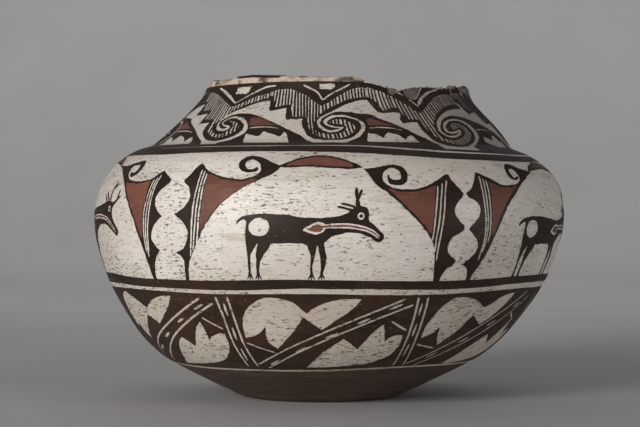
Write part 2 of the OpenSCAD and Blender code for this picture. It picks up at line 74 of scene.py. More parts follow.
# Where the lip is broken away: degrees and height of the break
CHIP = [(8.5, 225), (9.5, 224.2), (11, 222.4), (12.5, 220.8), (15, 219.6), (18, 218.7), (21, 217.6),
        (24, 216.9), (27, 216), (30, 216.8), (33, 218.2), (37, 218.4), (41, 218.9), (46, 218.7), (51, 219.3),
        (56, 218.9), (59.5, 219.6), (60.6, 221.6), (61.4, 221.8), (62.2, 217.2), (66, 217.4), (72, 218.8),
        (79, 220.8), (85, 223), (90, 225)]
# Heights above which the lip counts as whole, for the raggedness of the break and for the look of its clay
RAGGED_BELOW = 223
WHOLE_FROM = 222.5


def spline(points, step):
    """A smooth run through points, one row each, with about one step between the rows it gives back."""
    p = np.asarray(points, float)
    if len(p) < 3:
        n = max(1, int(np.ceil(np.linalg.norm(p[-1] - p[0]) / step)))
        return p[0] + (p[-1] - p[0]) * np.linspace(0, 1, n + 1)[:, None]
    p = np.vstack([2 * p[0] - p[1], p, 2 * p[-1] - p[-2]])
    out = []
    for a, b, c, d in zip(p, p[1:], p[2:], p[3:]):
        n = max(1, int(np.ceil(np.linalg.norm(c - b) / step)))
        t = (np.arange(n) / n)[:, None]
        bend, twist = 2 * a - 5 * b + 4 * c - d, 3 * b - a - 3 * c + d
        out.append((2 * b + (c - a) * t + bend * t**2 + twist * t**3) / 2)
    return np.vstack(out + [p[-2:-1]])


# The profile as a fine curve: radius, height and length along it
OUTER_R, OUTER_Z = spline(PROFILE, 0.8).T
OUTER_Z = np.maximum.accumulate(OUTER_Z + np.arange(len(OUTER_Z)) * 1e-6)
ALONG = np.concatenate([[0], np.cumsum(np.hypot(np.diff(OUTER_R), np.diff(OUTER_Z)))])
DRIFT_Z, DRIFT_X = spline(DRIFT, 1.0).T


def radius(z):
    return np.interp(z, OUTER_Z, OUTER_R)


def along(z):
    """Length along the profile, up to a height."""
    return np.interp(z, OUTER_Z, ALONG)


def height(s):
    return np.interp(s, ALONG, OUTER_Z)


def uneven(theta, z):
    """The small unevenness of a wall that was coiled and scraped by hand, in millimetres."""
    t = np.radians(theta)
    soft = 0.35 * np.sin(2 * t + 1.2 + z / 60) + 0.22 * np.sin(5 * t + 2.6 - z / 31)
    soft = soft + 0.12 * np.sin(9 * t + z / 13)
    return soft * np.clip(z / 20, 0, 1) * np.clip((LIP_Z - z) / 20, 0.3, 1)


def clay(theta, z):
    """A point of the bare outer wall, in millimetres."""
    t = np.radians(theta)
    r = radius(z + (1 + np.sin(t)) * np.exp(-((z - SAG_Z) / SAG_REACH) ** 2)) + uneven(theta, z)
    return np.stack([FOOT_X + np.interp(z, DRIFT_Z, DRIFT_X) + r * np.sin(t), -r * np.cos(t), z + 0 * t], -1)


def surface(theta, z, off=0.0):
    """Points so far off the wall, in metres, and their normals."""
    theta, z, off = np.broadcast_arrays(*(np.asarray(value, float) for value in (theta, z, off)))
    across = clay(theta + 0.5, z) - clay(theta - 0.5, z)
    up = clay(theta, np.minimum(z + 1, LIP_Z)) - clay(theta, np.maximum(z - 1, 0))
    normal = np.cross(across, up)
    normal /= np.linalg.norm(normal, axis=-1)[..., None]
    return (clay(theta, z) + off[..., None] * normal) * MM, normal


def inner_start(z):
    """The outer height whose point one wall thickness inside lies at this height."""
    heights = np.linspace(0, LIP_Z, 400)
    return float(np.interp(z, np.maximum.accumulate(surface(0, heights, -WALL)[0][:, 2] / MM), heights))


def lip_rise(theta):
    """How far the lip stands above its lowest stretch, worn as it is into long waves."""
    return np.interp((np.asarray(theta, float) + 180) % 360 - 180, *zip(*LIP_WAVES))


def break_z(theta):
    """Height of the lip's top all round, lower and ragged where it is broken."""
    theta = (np.asarray(theta, float) + 180) % 360 - 180
    z = np.interp(theta, *zip(*CHIP))
    ragged = 0.35 * np.sin(1.9 * theta) + 0.25 * np.sin(4.3 * theta + 1) + 0.2 * np.sin(8.9 * theta + 2)
    return np.where(z < RAGGED_BELOW, z + ragged, z)


def at(table):
    """A line round the jar, read from a table of degrees and heights."""
    t, z = zip(*table)
    return lambda theta: np.interp((np.asarray(theta, float) + 180) % 360 - 180, t, z)


def waver(seed, size):
    """The small waver of a brush on its way round."""
    wave = np.random.default_rng(seed)
    parts = [(n, wave.uniform(0, 6.3), wave.uniform(0.4, 1) / math.sqrt(n))
             for n in (3, 7, 13, 22, 37, 61, 90)]
    return lambda theta: size * sum(a * np.sin(n * np.radians(theta) + p) for n, p, a in parts)


# Meshes
def new_piece(name, points, faces, material, nodes, flow, normals=None):
    mesh = bpy.data.meshes.new(name)
    mesh.from_pydata([tuple(p) for p in points], [], faces)
    attribute = mesh.attributes.new("flow", "FLOAT_VECTOR", "POINT")
    attribute.data.foreach_set("vector", np.asarray(flow, np.float32).ravel())
    mesh.shade_smooth()
    if normals is not None:
        mesh.normals_split_custom_set_from_vertices([tuple(n) for n in normals])
    mesh.materials.append(material)
    piece = bpy.data.objects.new(name, mesh)
    bpy.context.scene.collection.objects.link(piece)
    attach(piece, "root")
    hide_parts(*nodes)
    return piece


def lathe(name, section, steps, material, nodes):
    """A closed ring whose section, a loop of points and flow heights, may change with the angle."""
    columns = [section(360 * i / steps - 180) for i in range(steps)]
    points = np.array([c[0] for c in columns])
    high = np.array([c[1] for c in columns])
    rows = points.shape[1]
    grid = np.arange(steps * rows).reshape(steps, rows)
    after = np.roll(grid, -1, 0)
    faces = np.stack([grid, after, np.roll(after, -1, 1), np.roll(grid, -1, 1)], -1).reshape(-1, 4)
    flow = points.copy()
    flow[..., 2] = high * MM
    piece = new_piece(name, points.reshape(-1, 3), faces.tolist(), material, nodes, flow.reshape(-1, 3))
    mend = bmesh.new()
    mend.from_mesh(piece.data)
    bmesh.ops.remove_doubles(mend, verts=mend.verts, dist=1e-6)
    bmesh.ops.dissolve_degenerate(mend, edges=mend.edges, dist=1e-7)
    bmesh.ops.recalc_face_normals(mend, faces=mend.faces)
    mend.to_mesh(piece.data)
    mend.free()
    piece.data.set_sharp_from_angle(angle=math.radians(40))
    return piece


def layer(name, z0, z1, low, high, material, nodes, step=2.0, span=None):
    """A thin layer between two edges, each a height or a line round the jar, all round or over a span."""
    z0 = z0 if callable(z0) else at([(0, z0)])
    z1 = z1 if callable(z1) else at([(0, z1)])
    closed = span is None
    start, end = (-180, 180) if closed else span
    count = int((end - start) / 0.75)
    theta = np.linspace(start, end, count, endpoint=not closed)[:, None]
    s0, s1 = along(z0(theta)), along(z1(theta))
    rows = max(2, int(np.max(s1 - s0) / step) + 1)
    s = s0 + (s1 - s0) * np.linspace(0, 1, rows)
    outside, normals = surface(theta, height(s), high)
    inside = surface(theta, height(s), low)[0]
    grid = np.arange(count * rows).reshape(count, rows)
    under = grid + grid.size
    nxt = np.roll(grid, -1, 0)
    nxt_under = nxt + grid.size
    if not closed:
        grid, under, nxt, nxt_under = grid[:-1], under[:-1], nxt[:-1], nxt_under[:-1]
    faces = [np.stack([grid[:, :-1], nxt[:, :-1], nxt[:, 1:], grid[:, 1:]], -1),
             np.stack([under[:, :-1], under[:, 1:], nxt_under[:, 1:], nxt_under[:, :-1]], -1),
             np.stack([grid[:, :1], under[:, :1], nxt_under[:, :1], nxt[:, :1]], -1),
             np.stack([grid[:, -1:], nxt[:, -1:], nxt_under[:, -1:], under[:, -1:]], -1)]
    if not closed:
        first = np.arange(rows)
        last = first + (count - 1) * rows
        size = count * rows
        faces.append(np.stack([first[:-1], first[1:], first[1:] + size, first[:-1] + size], -1))
        faces.append(np.stack([last[:-1], last[:-1] + size, last[1:] + size, last[1:]], -1))
    faces = [f for group in faces for f in group.reshape(-1, 4).tolist()]
    points = np.vstack([outside.reshape(-1, 3), inside.reshape(-1, 3)])
    flow = points.copy()
    flow[:, 2] = np.tile(s.ravel(), 2) * MM
    normals = np.tile(normals.reshape(-1, 3), (2, 1))
    return new_piece(name, points, faces, material, nodes, flow, normals)


def fans(triangles):
    """One number for each corner of the triangles, shared where they join along an edge round a point."""
    count = len(triangles)
    corner = np.arange(3 * count).reshape(count, 3)
    after = np.roll(triangles, -1, 1)
    key = (np.minimum(triangles, after).astype(np.int64) << 32) + np.maximum(triangles, after)
    order = np.argsort(key.ravel(), kind="stable")
    ranked = key.ravel()[order]
    same = np.flatnonzero(ranked[1:] == ranked[:-1])
    one, two = order[same], order[same + 1]
    end = np.roll(corner, -1, 1).ravel()
    a = np.concatenate([one, end[one]])
    b = np.concatenate([end[two], two])
    label = np.arange(3 * count)
    while True:
        low = np.minimum(label[a], label[b])
        fresh = label.copy()
        np.minimum.at(fresh, a, low)
        np.minimum.at(fresh, b, low)
        if (fresh == label).all():
            break
        label = fresh
    edge = np.ones(3 * count, bool)
    edge[one] = edge[two] = False
    return label.reshape(count, 3), edge.reshape(count, 3)


# Where a drawing goes: degrees round the jar, stretch in width and millimetres up
FRONT = 0, 1, 0


class Canvas:
    """Brush work on one zone of the wall. What is painted later covers what was painted before."""

    def __init__(self, z0, z1, span, seed, step=1.2, grid=4.0):
        self.span = span
        self.edges = z0 if callable(z0) else at([(0, z0)]), z1 if callable(z1) else at([(0, z1)])
        middle = (np.mean(self.edges[0](0)) + np.mean(self.edges[1](0))) / 2
        self.per_degree = math.radians(float(radius(middle)))
        self.step, self.grid = step, grid
        self.rng = np.random.default_rng(seed)
        self.strokes = []
        self.place = FRONT
        self.drawn = lambda theta: theta
        self.plain = False

    def flat(self, points):
        """Degrees and heights as millimetres across and along."""
        shift, stretch, rise = self.place
        p = np.asarray(points, float)
        rise = rise(p[:, 1]) if callable(rise) else rise
        return np.stack([self.drawn(shift + stretch * p[:, 0]) * self.per_degree, along(p[:, 1] + rise)], -1)

    def unsteady(self, loop, size):
        """An outline with the small random waver of a brush, unless the canvas is set to plain."""
        if self.plain or size == 0 or len(loop) < 5:
            return loop
        tangent = np.roll(loop, -1, 0) - np.roll(loop, 1, 0)
        tangent /= np.maximum(np.linalg.norm(tangent, axis=1), 1e-6)[:, None]
        noise = self.rng.normal(size=len(loop))
        noise = (np.roll(noise, 1) + 2 * noise + np.roll(noise, -1)) / 2.45
        return loop + np.stack([-tangent[:, 1], tangent[:, 0]], -1) * (noise * size)[:, None]

    def fill(self, paint, *runs, within=None, rough=0.14, loop=False):
        """Paint inside smooth runs of points, with corners where one run ends and the next begins.

        With loop, the one run given is smooth all the way round. The number of the stroke comes back.
        """
        if loop:
            p = list(runs[0])
            whole = spline(self.flat(p[-2:] + p + p[:2]), self.step)
            first = np.argmin(np.linalg.norm(whole - self.flat(p[:1]), axis=1))
            last = len(whole) - 1 - np.argmin(np.linalg.norm(whole[::-1] - self.flat(p[:1]), axis=1))
            outline = whole[first:last]
        else:
            parts = [spline(self.flat(run), self.step) for run in runs]
            joins = [spline([a[-1], b[0]], self.step)[1:-1] for a, b in zip(parts, parts[1:] + parts[:1])]
            outline = np.vstack([row for pair in zip(parts, joins) for row in pair])
        keep = np.linalg.norm(outline - np.roll(outline, 1, 0), axis=1) > 0.05
        self.strokes.append((paint, self.unsteady(outline[keep], rough), within))
        return len(self.strokes) - 1

    def line(self, paint, points, width, within=None, taper=(1, 1), rough=0.07):
        """One brush line of a width, or of several widths along its way."""
        middle = spline(self.flat(points), self.step)
        gone = np.concatenate([[0], np.cumsum(np.linalg.norm(np.diff(middle, axis=0), axis=1))])
        widths = np.interp(gone / gone[-1], np.linspace(0, 1, np.size(width)), np.atleast_1d(width))
        for side, share in zip((gone, gone[-1] - gone), taper):
            widths = widths * np.clip(np.sqrt(np.clip(side / (widths * 0.6 * (3 - 2 * share)), 0, 1)), 0.3, 1)
        tangent = np.gradient(middle, axis=0)
        tangent /= np.maximum(np.linalg.norm(tangent, axis=1), 1e-6)[:, None]
        normal = np.stack([-tangent[:, 1], tangent[:, 0]], -1) * widths[:, None] / 2
        outline = np.vstack([middle + normal, (middle - normal)[::-1]])
        self.strokes.append((paint, self.unsteady(outline, rough), within))

    def finish(self):
        """Triangles of the zone, with the paint that each ends up under."""
        k = self.per_degree
        t = np.linspace(*self.span, int((self.span[1] - self.span[0]) * k / 3) + 2)
        low = np.stack([t * k, along(self.edges[0](t))], -1)
        high = np.stack([t * k, along(self.edges[1](t))], -1)
        rise = int((high[0, 1] - low[0, 1]) / 3) + 1
        fall = int((high[-1, 1] - low[-1, 1]) / 3) + 1
        right = low[-1] + (high[-1] - low[-1]) * (np.arange(1, fall) / fall)[:, None]
        left = high[0] + (low[0] - high[0]) * (np.arange(1, rise) / rise)[:, None]
        border = np.vstack([low, right, high[::-1], left])
        gap = self.grid
        u = np.arange(border[:, 0].min() + gap / 2, border[:, 0].max(), gap)
        v = np.arange(border[:, 1].min() + gap / 2, border[:, 1].max(), gap * 0.87)
        seeds = np.stack(np.meshgrid(u, v), -1)
        seeds[::2, :, 0] += gap / 2
        seeds = seeds.reshape(-1, 2) + self.rng.uniform(-0.15, 0.15, (u.size * v.size, 2)) * gap
        seeds = seeds[inside(seeds, border)]
        loops = [border] + [s[1] for s in self.strokes]
        points = np.vstack(loops + [seeds])
        edges, first = [], 0
        for loop in loops:
            n = np.arange(len(loop))
            edges.append(np.stack([first + n, first + np.roll(n, -1)], -1))
            first += len(loop)
        edges = np.vstack(edges).tolist()
        out = delaunay_2d_cdt([Vector(p) for p in points], edges, [], 0, 1e-4, False)
        points = np.array([tuple(p) for p in out[0]])
        triangles = np.array([f for f in out[2] if len(f) == 3])
        a, b, c = (points[triangles[:, i]] for i in range(3))
        turn = (b[:, 0] - a[:, 0]) * (c[:, 1] - a[:, 1]) - (b[:, 1] - a[:, 1]) * (c[:, 0] - a[:, 0])
        triangles[turn < 0] = triangles[turn < 0][:, ::-1]
        middle = (a + b + c) / 3
        keep = inside(middle, border) & (np.abs(turn) > 1e-7)
        triangles, middle = triangles[keep], middle[keep]
        under = np.zeros(len(triangles), object)
        under[:] = ""
        masks = {}
        for i, (paint, loop, within) in enumerate(self.strokes):
            hit = inside(middle, loop)
            masks[i] = hit
            if within is not None:
                hit = hit & masks[within]
            under[hit] = paint
        return points, triangles, under

    def pieces(self, table, low=SLIP, high=SLIP + PAINT):
        """One closed piece for each paint: name, material, nodes and slot; the slot is not used."""
        points, triangles, under = self.finish()
        k = self.per_degree
        for paint, name, material, nodes, slot in table:
            some = triangles[under == paint]
            if not len(some):
                raise ValueError("nothing painted with " + paint)
            label, edge = fans(some)
            used, corner = np.unique(label, return_inverse=True)
            corner = corner.reshape(label.shape)
            place = some.ravel()[used]
            theta, s = points[place, 0] / k, points[place, 1]
            outside, normals = surface(theta, height(s), high)
            below = surface(theta, height(s), low)[0]
            n = len(used)
            start = corner[edge]
            end = np.roll(corner, -1, 1)[edge]
            faces = corner.tolist() + (corner[:, ::-1] + n).tolist()
            faces += np.stack([start, start + n, end + n, end], -1).tolist()
            both = np.vstack([outside, below])
            flow = both.copy()
            flow[:, 2] = np.tile(s, 2) * MM
            new_piece(name, both, faces, material, nodes, flow, np.tile(normals, (2, 1)))


def inside(points, loop):
    """Which points lie inside a loop."""
    hit = np.zeros(len(points), bool)
    low, high = loop.min(0), loop.max(0)
    near = np.flatnonzero(((points >= low) & (points <= high)).all(1))
    if not len(near):
        return hit
    x, y = points[near, 0][:, None], points[near, 1][:, None]
    a, b = loop, np.roll(loop, -1, 0)
    for part in np.array_split(np.arange(len(near)), len(near) * len(loop) // 4000000 + 1):
        px, py = x[part], y[part]
        crosses = (a[:, 1] > py) != (b[:, 1] > py)
        with np.errstate(divide="ignore", invalid="ignore"):
            where = a[:, 0] + (py - a[:, 1]) * (b[:, 0] - a[:, 0]) / (b[:, 1] - a[:, 1])
        hit[near[part]] = (crosses & (px < where)).sum(1) % 2 == 1
    return hit


# Materials
def rgb(r, g, b):
    """A colour given in the 0 to 255 of a screen, as the linear one that shaders take."""
    screen = (r / 255, g / 255, b / 255)
    return tuple((c / 12.92 if c <= 0.04045 else ((c + 0.055) / 1.055) ** 2.4) for c in screen) + (1,)


class Shader:
    """A short way to write a material's nodes."""

    def __init__(self, name):
        self.material = bpy.data.materials.new(name)
        self.material.use_nodes = True
        self.tree = self.material.node_tree
        self.bsdf = self.tree.nodes["Principled BSDF"]

    def node(self, kind, inputs=(), **settings):
        node = self.tree.nodes.new(kind)
        for key, value in settings.items():
            setattr(node, key, value)
        for socket, value in dict(inputs).items():
            if isinstance(value, bpy.types.NodeSocket):
                self.tree.links.new(value, node.inputs[socket])
            else:
                node.inputs[socket].default_value = value
        return node

    def flow(self, scale=(1, 1, 1)):
        """Places on the wall in metres, with the way up along the wall as Z."""
        attribute = self.node("ShaderNodeAttribute", attribute_name="flow")
        return self.node("ShaderNodeMapping", {0: attribute.outputs["Vector"], 3: scale}).outputs[0]

    def noise(self, scale, stretch=(1, 1, 1), detail=3.0, rough=0.55, twist=0.0):
        inputs = {"Vector": self.flow(stretch), "Scale": scale, "Detail": detail, "Roughness": rough,
                  "Distortion": twist}
        return self.node("ShaderNodeTexNoise", inputs).outputs[0]

    def step(self, value, low, high, start=0.0, end=1.0):
        return self.node("ShaderNodeMapRange", {0: value, 1: low, 2: high, 3: start, 4: end},
                         interpolation_type="SMOOTHSTEP").outputs[0]

    def math(self, kind, a, b):
        return self.node("ShaderNodeMath", {0: a, 1: b}, operation=kind).outputs[0]

    def mix(self, share, a, b):
        return self.node("ShaderNodeMix", {0: share, 6: a, 7: b}, data_type="RGBA").outputs[2]

    def bump(self, parts):
        normal = None
        for value, distance in parts:
            inputs = {"Height": value, "Distance": distance, "Strength": 1.0}
            if normal is not None:
                inputs["Normal"] = normal
            normal = self.node("ShaderNodeBump", inputs).outputs[0]
        self.tree.links.new(normal, self.bsdf.inputs["Normal"])

    def finish(self, colour, rough, specular):
        self.tree.links.new(colour, self.bsdf.inputs["Base Color"])
        self.tree.links.new(rough, self.bsdf.inputs["Roughness"])
        self.bsdf.inputs["Specular IOR Level"].default_value = specular
        return self.material


def low_wear(s):
    """More wear and dirt below the waist; the two numbers are lengths along the wall, in metres."""
    high = s.node("ShaderNodeSeparateXYZ", {0: s.flow()}).outputs[2]
    return s.step(high, 0.15, 0.128)


# Heights between which the neck's grey tint, with its painted shade, comes in
NECK_TINT_FROM, NECK_TINT_FULL = 170, 178


def neck_tint_and_shade(s):
    """The neck is greyer than the body, and darker still towards its right as painted shade."""
    place = s.node("ShaderNodeSeparateXYZ", {0: s.flow()})
    shoulder, full = float(along(NECK_TINT_FROM)) * MM, float(along(NECK_TINT_FULL)) * MM
    on_neck_only = s.step(place.outputs[2], shoulder, full)
    # Painted shade: the grey grows towards the right, away from the key light
    return s.math("MULTIPLY", on_neck_only, s.step(place.outputs[0], 0.0, 0.1, 0.6, 1.6))


def pitted_slip(s, wear):
    """Where temper has broken out of the slip: short dark dashes lying level, thicker in some places."""
    patchy = s.math("ADD", s.noise(13, (1, 1, 1.4), 2.5), s.math("MULTIPLY", wear, 0.11))
    dashes = s.noise(250, (1, 1, 3.6), 2.2, 0.55, 0.3)
    fine = s.noise(640, (1, 1, 2.6), 2)
    edge = s.step(patchy, 0.3, 0.72, 0.67, 0.575)
    dash = s.step(s.math("SUBTRACT", dashes, edge), 0.0, 0.035)
    speck = s.step(s.math("SUBTRACT", fine, s.math("ADD", edge, 0.02)), 0.0, 0.04)
    return dash, speck


def white_slip():
    s = Shader("white_slip")
    wear = low_wear(s)
    dash, speck = pitted_slip(s, wear)
    cloud = s.noise(9, (1, 1, 1.6), 3)
    streak = s.noise(120, (1, 1, 9), 4, 0.6)
    wipe = s.noise(34, (1, 1, 6), 3.5, 0.65, 0.5)
    grain = s.noise(700, (1, 1, 1.5), 2)
    colour = s.mix(s.step(cloud, 0.35, 0.68), rgb(233, 225, 217), rgb(215, 204, 193))
    colour = s.mix(s.math("MULTIPLY", wear, 0.45), colour, rgb(196, 180, 160))
    # The neck's grey tint, deepening into painted shade towards its right
    colour = s.mix(s.math("MULTIPLY", neck_tint_and_shade(s), 0.4), colour, rgb(140, 127, 116))
    colour = s.mix(s.step(wipe, 0.5, 0.74, 0, 0.6), colour, rgb(188, 172, 154))
    colour = s.mix(s.step(streak, 0.52, 0.7, 0, 0.45), colour, rgb(178, 160, 142))
    colour = s.mix(s.step(grain, 0.5, 0.75, 0, 0.3), colour, rgb(164, 145, 128))
    colour = s.mix(s.math("MULTIPLY", speck, 0.6), colour, rgb(118, 94, 76))
    colour = s.mix(s.math("MULTIPLY", dash, 0.8), colour, rgb(84, 63, 49))
    rough = s.step(s.math("ADD", streak, s.math("MULTIPLY", dash, 0.5)), 0.3, 0.9, 0.36, 0.66)
    s.bump([(s.math("SUBTRACT", 1.0, dash), 0.0003), (streak, 0.0002), (grain, 0.00006)])
    return s.finish(colour, rough, 0.4)


def dark_paint():
    s = Shader("dark_paint")
    wear = low_wear(s)
    cloud = s.noise(26, (1, 1, 2), 3.5, 0.6)
    streak = s.noise(150, (1, 1, 7), 4, 0.62)
    fleck = s.noise(430, (1, 1, 2.8), 3, 0.62)
    patchy = s.math("ADD", s.noise(18, (1, 1, 1.3), 2.5), s.math("MULTIPLY", wear, 0.1))
    colour = s.mix(s.step(cloud, 0.35, 0.7), rgb(44, 30, 22), rgb(65, 45, 34))
    colour = s.mix(s.step(streak, 0.5, 0.74, 0, 0.5), colour, rgb(84, 62, 49))
    colour = s.mix(s.math("SUBTRACT", 0.5, s.math("MULTIPLY", wear, 0.5)), colour, rgb(24, 15, 10))
    edge = s.step(patchy, 0.32, 0.75, 0.72, 0.61)
    worn = s.step(s.math("SUBTRACT", fleck, edge), 0.0, 0.06)
    colour = s.mix(s.math("MULTIPLY", worn, 0.8), colour, rgb(146, 118, 97))
    rough = s.step(streak, 0.3, 0.75, 0.46, 0.66)
    s.bump([(streak, 0.00016), (s.math("SUBTRACT", 1.0, worn), 0.0001)])
    return s.finish(colour, rough, 0.26)


def red_paint():
    s = Shader("red_paint")
    cloud = s.noise(26, (1, 1, 1.6), 3.5)
    streak = s.noise(140, (1, 1, 6), 4, 0.6)
    fleck = s.noise(480, (1, 1, 2.6), 3, 0.6)
    colour = s.mix(s.step(cloud, 0.35, 0.7), rgb(122, 77, 64), rgb(97, 61, 51))
    colour = s.mix(s.step(streak, 0.5, 0.72, 0, 0.5), colour, rgb(142, 104, 89))
    colour = s.mix(s.step(fleck, 0.6, 0.72, 0, 0.6), colour, rgb(64, 44, 36))
    rough = s.step(streak, 0.3, 0.75, 0.5, 0.68)
    s.bump([(streak, 0.00016), (fleck, 0.00008)])
    return s.finish(colour, rough, 0.26)


def brown_slip():
    s = Shader("brown_slip")
    cloud = s.noise(12, (1, 1, 2.2), 3.5)
    streak = s.noise(60, (1, 1, 10), 4, 0.62)
    fine = s.noise(260, (1, 1, 7), 3, 0.6)
    pit = s.noise(520, (1, 1, 2.4), 2)
    colour = s.mix(s.step(cloud, 0.34, 0.68), rgb(58, 42, 33), rgb(76, 57, 46))
    colour = s.mix(s.step(streak, 0.44, 0.68, 0, 0.85), colour, rgb(108, 86, 71))
    colour = s.mix(s.step(fine, 0.52, 0.74, 0, 0.55), colour, rgb(38, 27, 21))
    colour = s.mix(s.step(pit, 0.62, 0.72, 0, 0.55), colour, rgb(128, 106, 91))
    rough = s.step(streak, 0.3, 0.75, 0.42, 0.62)
    s.bump([(streak, 0.0003), (fine, 0.00012)])
    return s.finish(colour, rough, 0.32)


def bare_clay(name, light, dark, grit_colour, depth, patchy=(0.32, 0.7)):
    s = Shader(name)
    lump = s.noise(60, (1, 1, 1.2), 4, 0.65)
    grit = s.noise(420, (1, 1, 1), 4, 0.7)
    grain = s.node("ShaderNodeTexVoronoi", {"Vector": s.flow(), "Scale": 640.0}).outputs[0]
    colour = s.mix(s.step(lump, *patchy), light, dark)
    colour = s.mix(s.step(grit, 0.5, 0.72, 0, 0.6), colour, rgb(72, 60, 52))
    colour = s.mix(s.step(grain, 0.0, 0.28, 0.4, 0.0), colour, grit_colour)
    rough = s.step(grit, 0.3, 0.7, 0.78, 0.95)
    s.bump([(lump, depth), (grit, depth * 0.45), (grain, depth * 0.15)])
    return s.finish(colour, rough, 0.25)


SLIP_LOOK, DARK, RED, BROWN = white_slip(), dark_paint(), red_paint(), brown_slip()
CLAY = bare_clay("plain_clay", rgb(158, 138, 120), rgb(118, 100, 86), rgb(196, 182, 168), 0.0005)
BROKEN = bare_clay("broken_clay", rgb(122, 109, 103), rgb(72, 61, 56), rgb(158, 146, 138), 0.0011)
WORN = bare_clay("worn_lip", rgb(204, 186, 169), rgb(96, 77, 65), rgb(214, 200, 186), 0.0004, (0.46, 0.64))

# Clay: the moulded base, the coiled wall and the coiled neck
SEAM_START, NECK_START, LIP_START = inner_start(SEAM_Z), inner_start(NECK_Z), LIP_Z - LIP_R
# Length along the wall for a millimetre of height, near enough for the clay's texture
FLOW_STRETCH = 1.2
# Brown slip on the base: radius outside which it lies, and how far up a face may look to have it
BROWN_FROM, BROWN_UP = 50.5, 0.2
# Broken clay: from where to where the break looks raw, the heights above which clay looks worn or broken, and
# the middle of the mouth
RAW_FROM, RAW_TO = 18, 105
WORN_ABOVE, BROKEN_ABOVE = 220.5, 205
MOUTH_X = FOOT_X + 12


def with_flow(points):
    """A section's points with a measure of the way up for its texture."""
    return points, points[:, 2] / MM * FLOW_STRETCH


def turned(theta, section):
    """A section of radii and heights, turned to an angle round the drifting middle, in metres."""
    t = math.radians(theta)
    r, z = np.asarray(section, float).T
    x = FOOT_X + np.interp(z, DRIFT_Z, DRIFT_X) + r * math.sin(t)
    return np.stack([x, -r * math.cos(t), z], -1) * MM


def base_section(theta):
    outer = surface(theta, np.linspace(0, SEAM_Z, 7))[0]
    seam = surface(theta, SEAM_START, -WALL)[0]
    seam_r = math.hypot(seam[0] / MM - FOOT_X, seam[1] / MM)
    floor = spline([(seam_r, SEAM_Z), (50, 7.2), (45, 8), (38, 11.2), (30, 14.4), (16, 17.7), (0, 18.5)], 4)
    return with_flow(np.vstack([turned(theta, spline(HOLLOW, 3)), outer, turned(theta, floor)]))


def wall_section(theta):
    outer = surface(theta, height(np.linspace(along(SEAM_Z), along(NECK_Z), 90)))[0]
    inner = surface(theta, height(np.linspace(along(NECK_START), along(SEAM_START), 60)), -WALL)[0]
    outer[0, 2], outer[-1, 2], inner[0, 2], inner[-1, 2] = (z * MM for z in (SEAM_Z, NECK_Z, NECK_Z, SEAM_Z))
    return with_flow(np.vstack([outer, inner]))


def broken(theta, share):
    """How far the break stands up or falls away, from the outer edge to the inner one."""
    rough = (0.5 * np.sin(2.3 * theta + 7 * share) + 0.4 * np.sin(5.1 * theta - 11 * share + 1)
             + 0.25 * np.sin(9.7 * theta + 19 * share + 2))
    return rough * np.sin(np.pi * share) + 1.2 * np.sin(np.pi * share / 2)


def neck_section(theta):
    top = float(break_z(theta))
    share = np.linspace(0, 1, 13)[:, None]
    start = min(LIP_START, top)
    outer = surface(theta, np.linspace(NECK_Z, start, 26))[0]
    inner = surface(theta, np.linspace(start, NECK_START, 20), -WALL)[0]
    inner[-1, 2] = outer[0, 2] = NECK_Z * MM
    rise = np.zeros((1, 3))
    rise[0, 2] = (LIP_R + float(lip_rise(theta))) * MM
    middle, half = (outer[-1] + inner[0]) / 2, (outer[-1] - inner[0]) / 2
    whole = middle + half * np.cos(np.pi * share) + rise * np.sin(np.pi * share)
    flat = outer[-1] + (inner[0] - outer[-1]) * share
    flat[:, 2] += broken(theta, share[:, 0]) * MM * 0.8
    gone = np.clip((LIP_Z - top) / 2.5, 0, 1)
    lip = whole * (1 - gone) + flat * gone
    return with_flow(np.vstack([outer, lip[1:-1], inner]))


base = lathe("moulded_base", base_section, 240, CLAY, ["puki_base"])
base.data.materials.append(BROWN)
for face in base.data.polygons:
    x, y, _ = face.center
    outside = math.hypot(x - FOOT_X * MM, y) > BROWN_FROM * MM
    face.material_index = int(outside and face.normal.z < BROWN_UP)
lathe("coiled_wall", wall_section, 300, CLAY, ["body_wall"])
neck_clay = lathe("coiled_neck", neck_section, 720, CLAY, ["neck_wall"])
neck_clay.data.materials.append(WORN)
neck_clay.data.materials.append(BROKEN)
for face in neck_clay.data.polygons:
    x, y, z = face.center
    theta = math.degrees(math.atan2(x - MOUTH_X * MM, -y))
    whole = float(break_z(theta)) > WHOLE_FROM and not RAW_FROM < theta < RAW_TO
    if whole:
        face.material_index = int(z > WORN_ABOVE * MM)
    else:
        face.material_index = 2 * int(z > BROKEN_ABOVE * MM)

# Slip
FOOT_EDGE = at([(-180, 26), (-70, 26.3), (-60, 26), (-40, 25.7), (-20, 26), (0, 26.4), (15, 27.2), (25, 27.8),
                (40, 28), (55, 27.6), (70, 27.4), (180, 26)])
foot_waver = waver(3, 0.25)
MOUTH_LOW, MOUTH_HIGH, SLIP_TOP = 197, 221.5, 221.7
ALL_ROUND = -180, 180
layer("brown_underbody", SEAM_Z, lambda t: FOOT_EDGE(t) + foot_waver(t), 0, SLIP, BROWN, ["underbody_slip"])
layer("white_body", lambda t: FOOT_EDGE(t) + foot_waver(t), NECK_Z, 0, SLIP, SLIP_LOOK, ["body_slip"])
layer("mouth_band", MOUTH_LOW, lambda t: np.minimum(MOUTH_HIGH, break_z(t) - 0.6), -WALL - SLIP, -WALL, BROWN,
      ["mouth_slip"])
slip_top = waver(11, 0.25)
canvas = Canvas(NECK_Z, lambda t: np.minimum(SLIP_TOP + slip_top(t), break_z(t) - 0.2), ALL_ROUND, 21,
                grid=3.2)
canvas.fill("slip", [(-181, 170), (181, 170)], [(181, 230), (-181, 230)], rough=0)
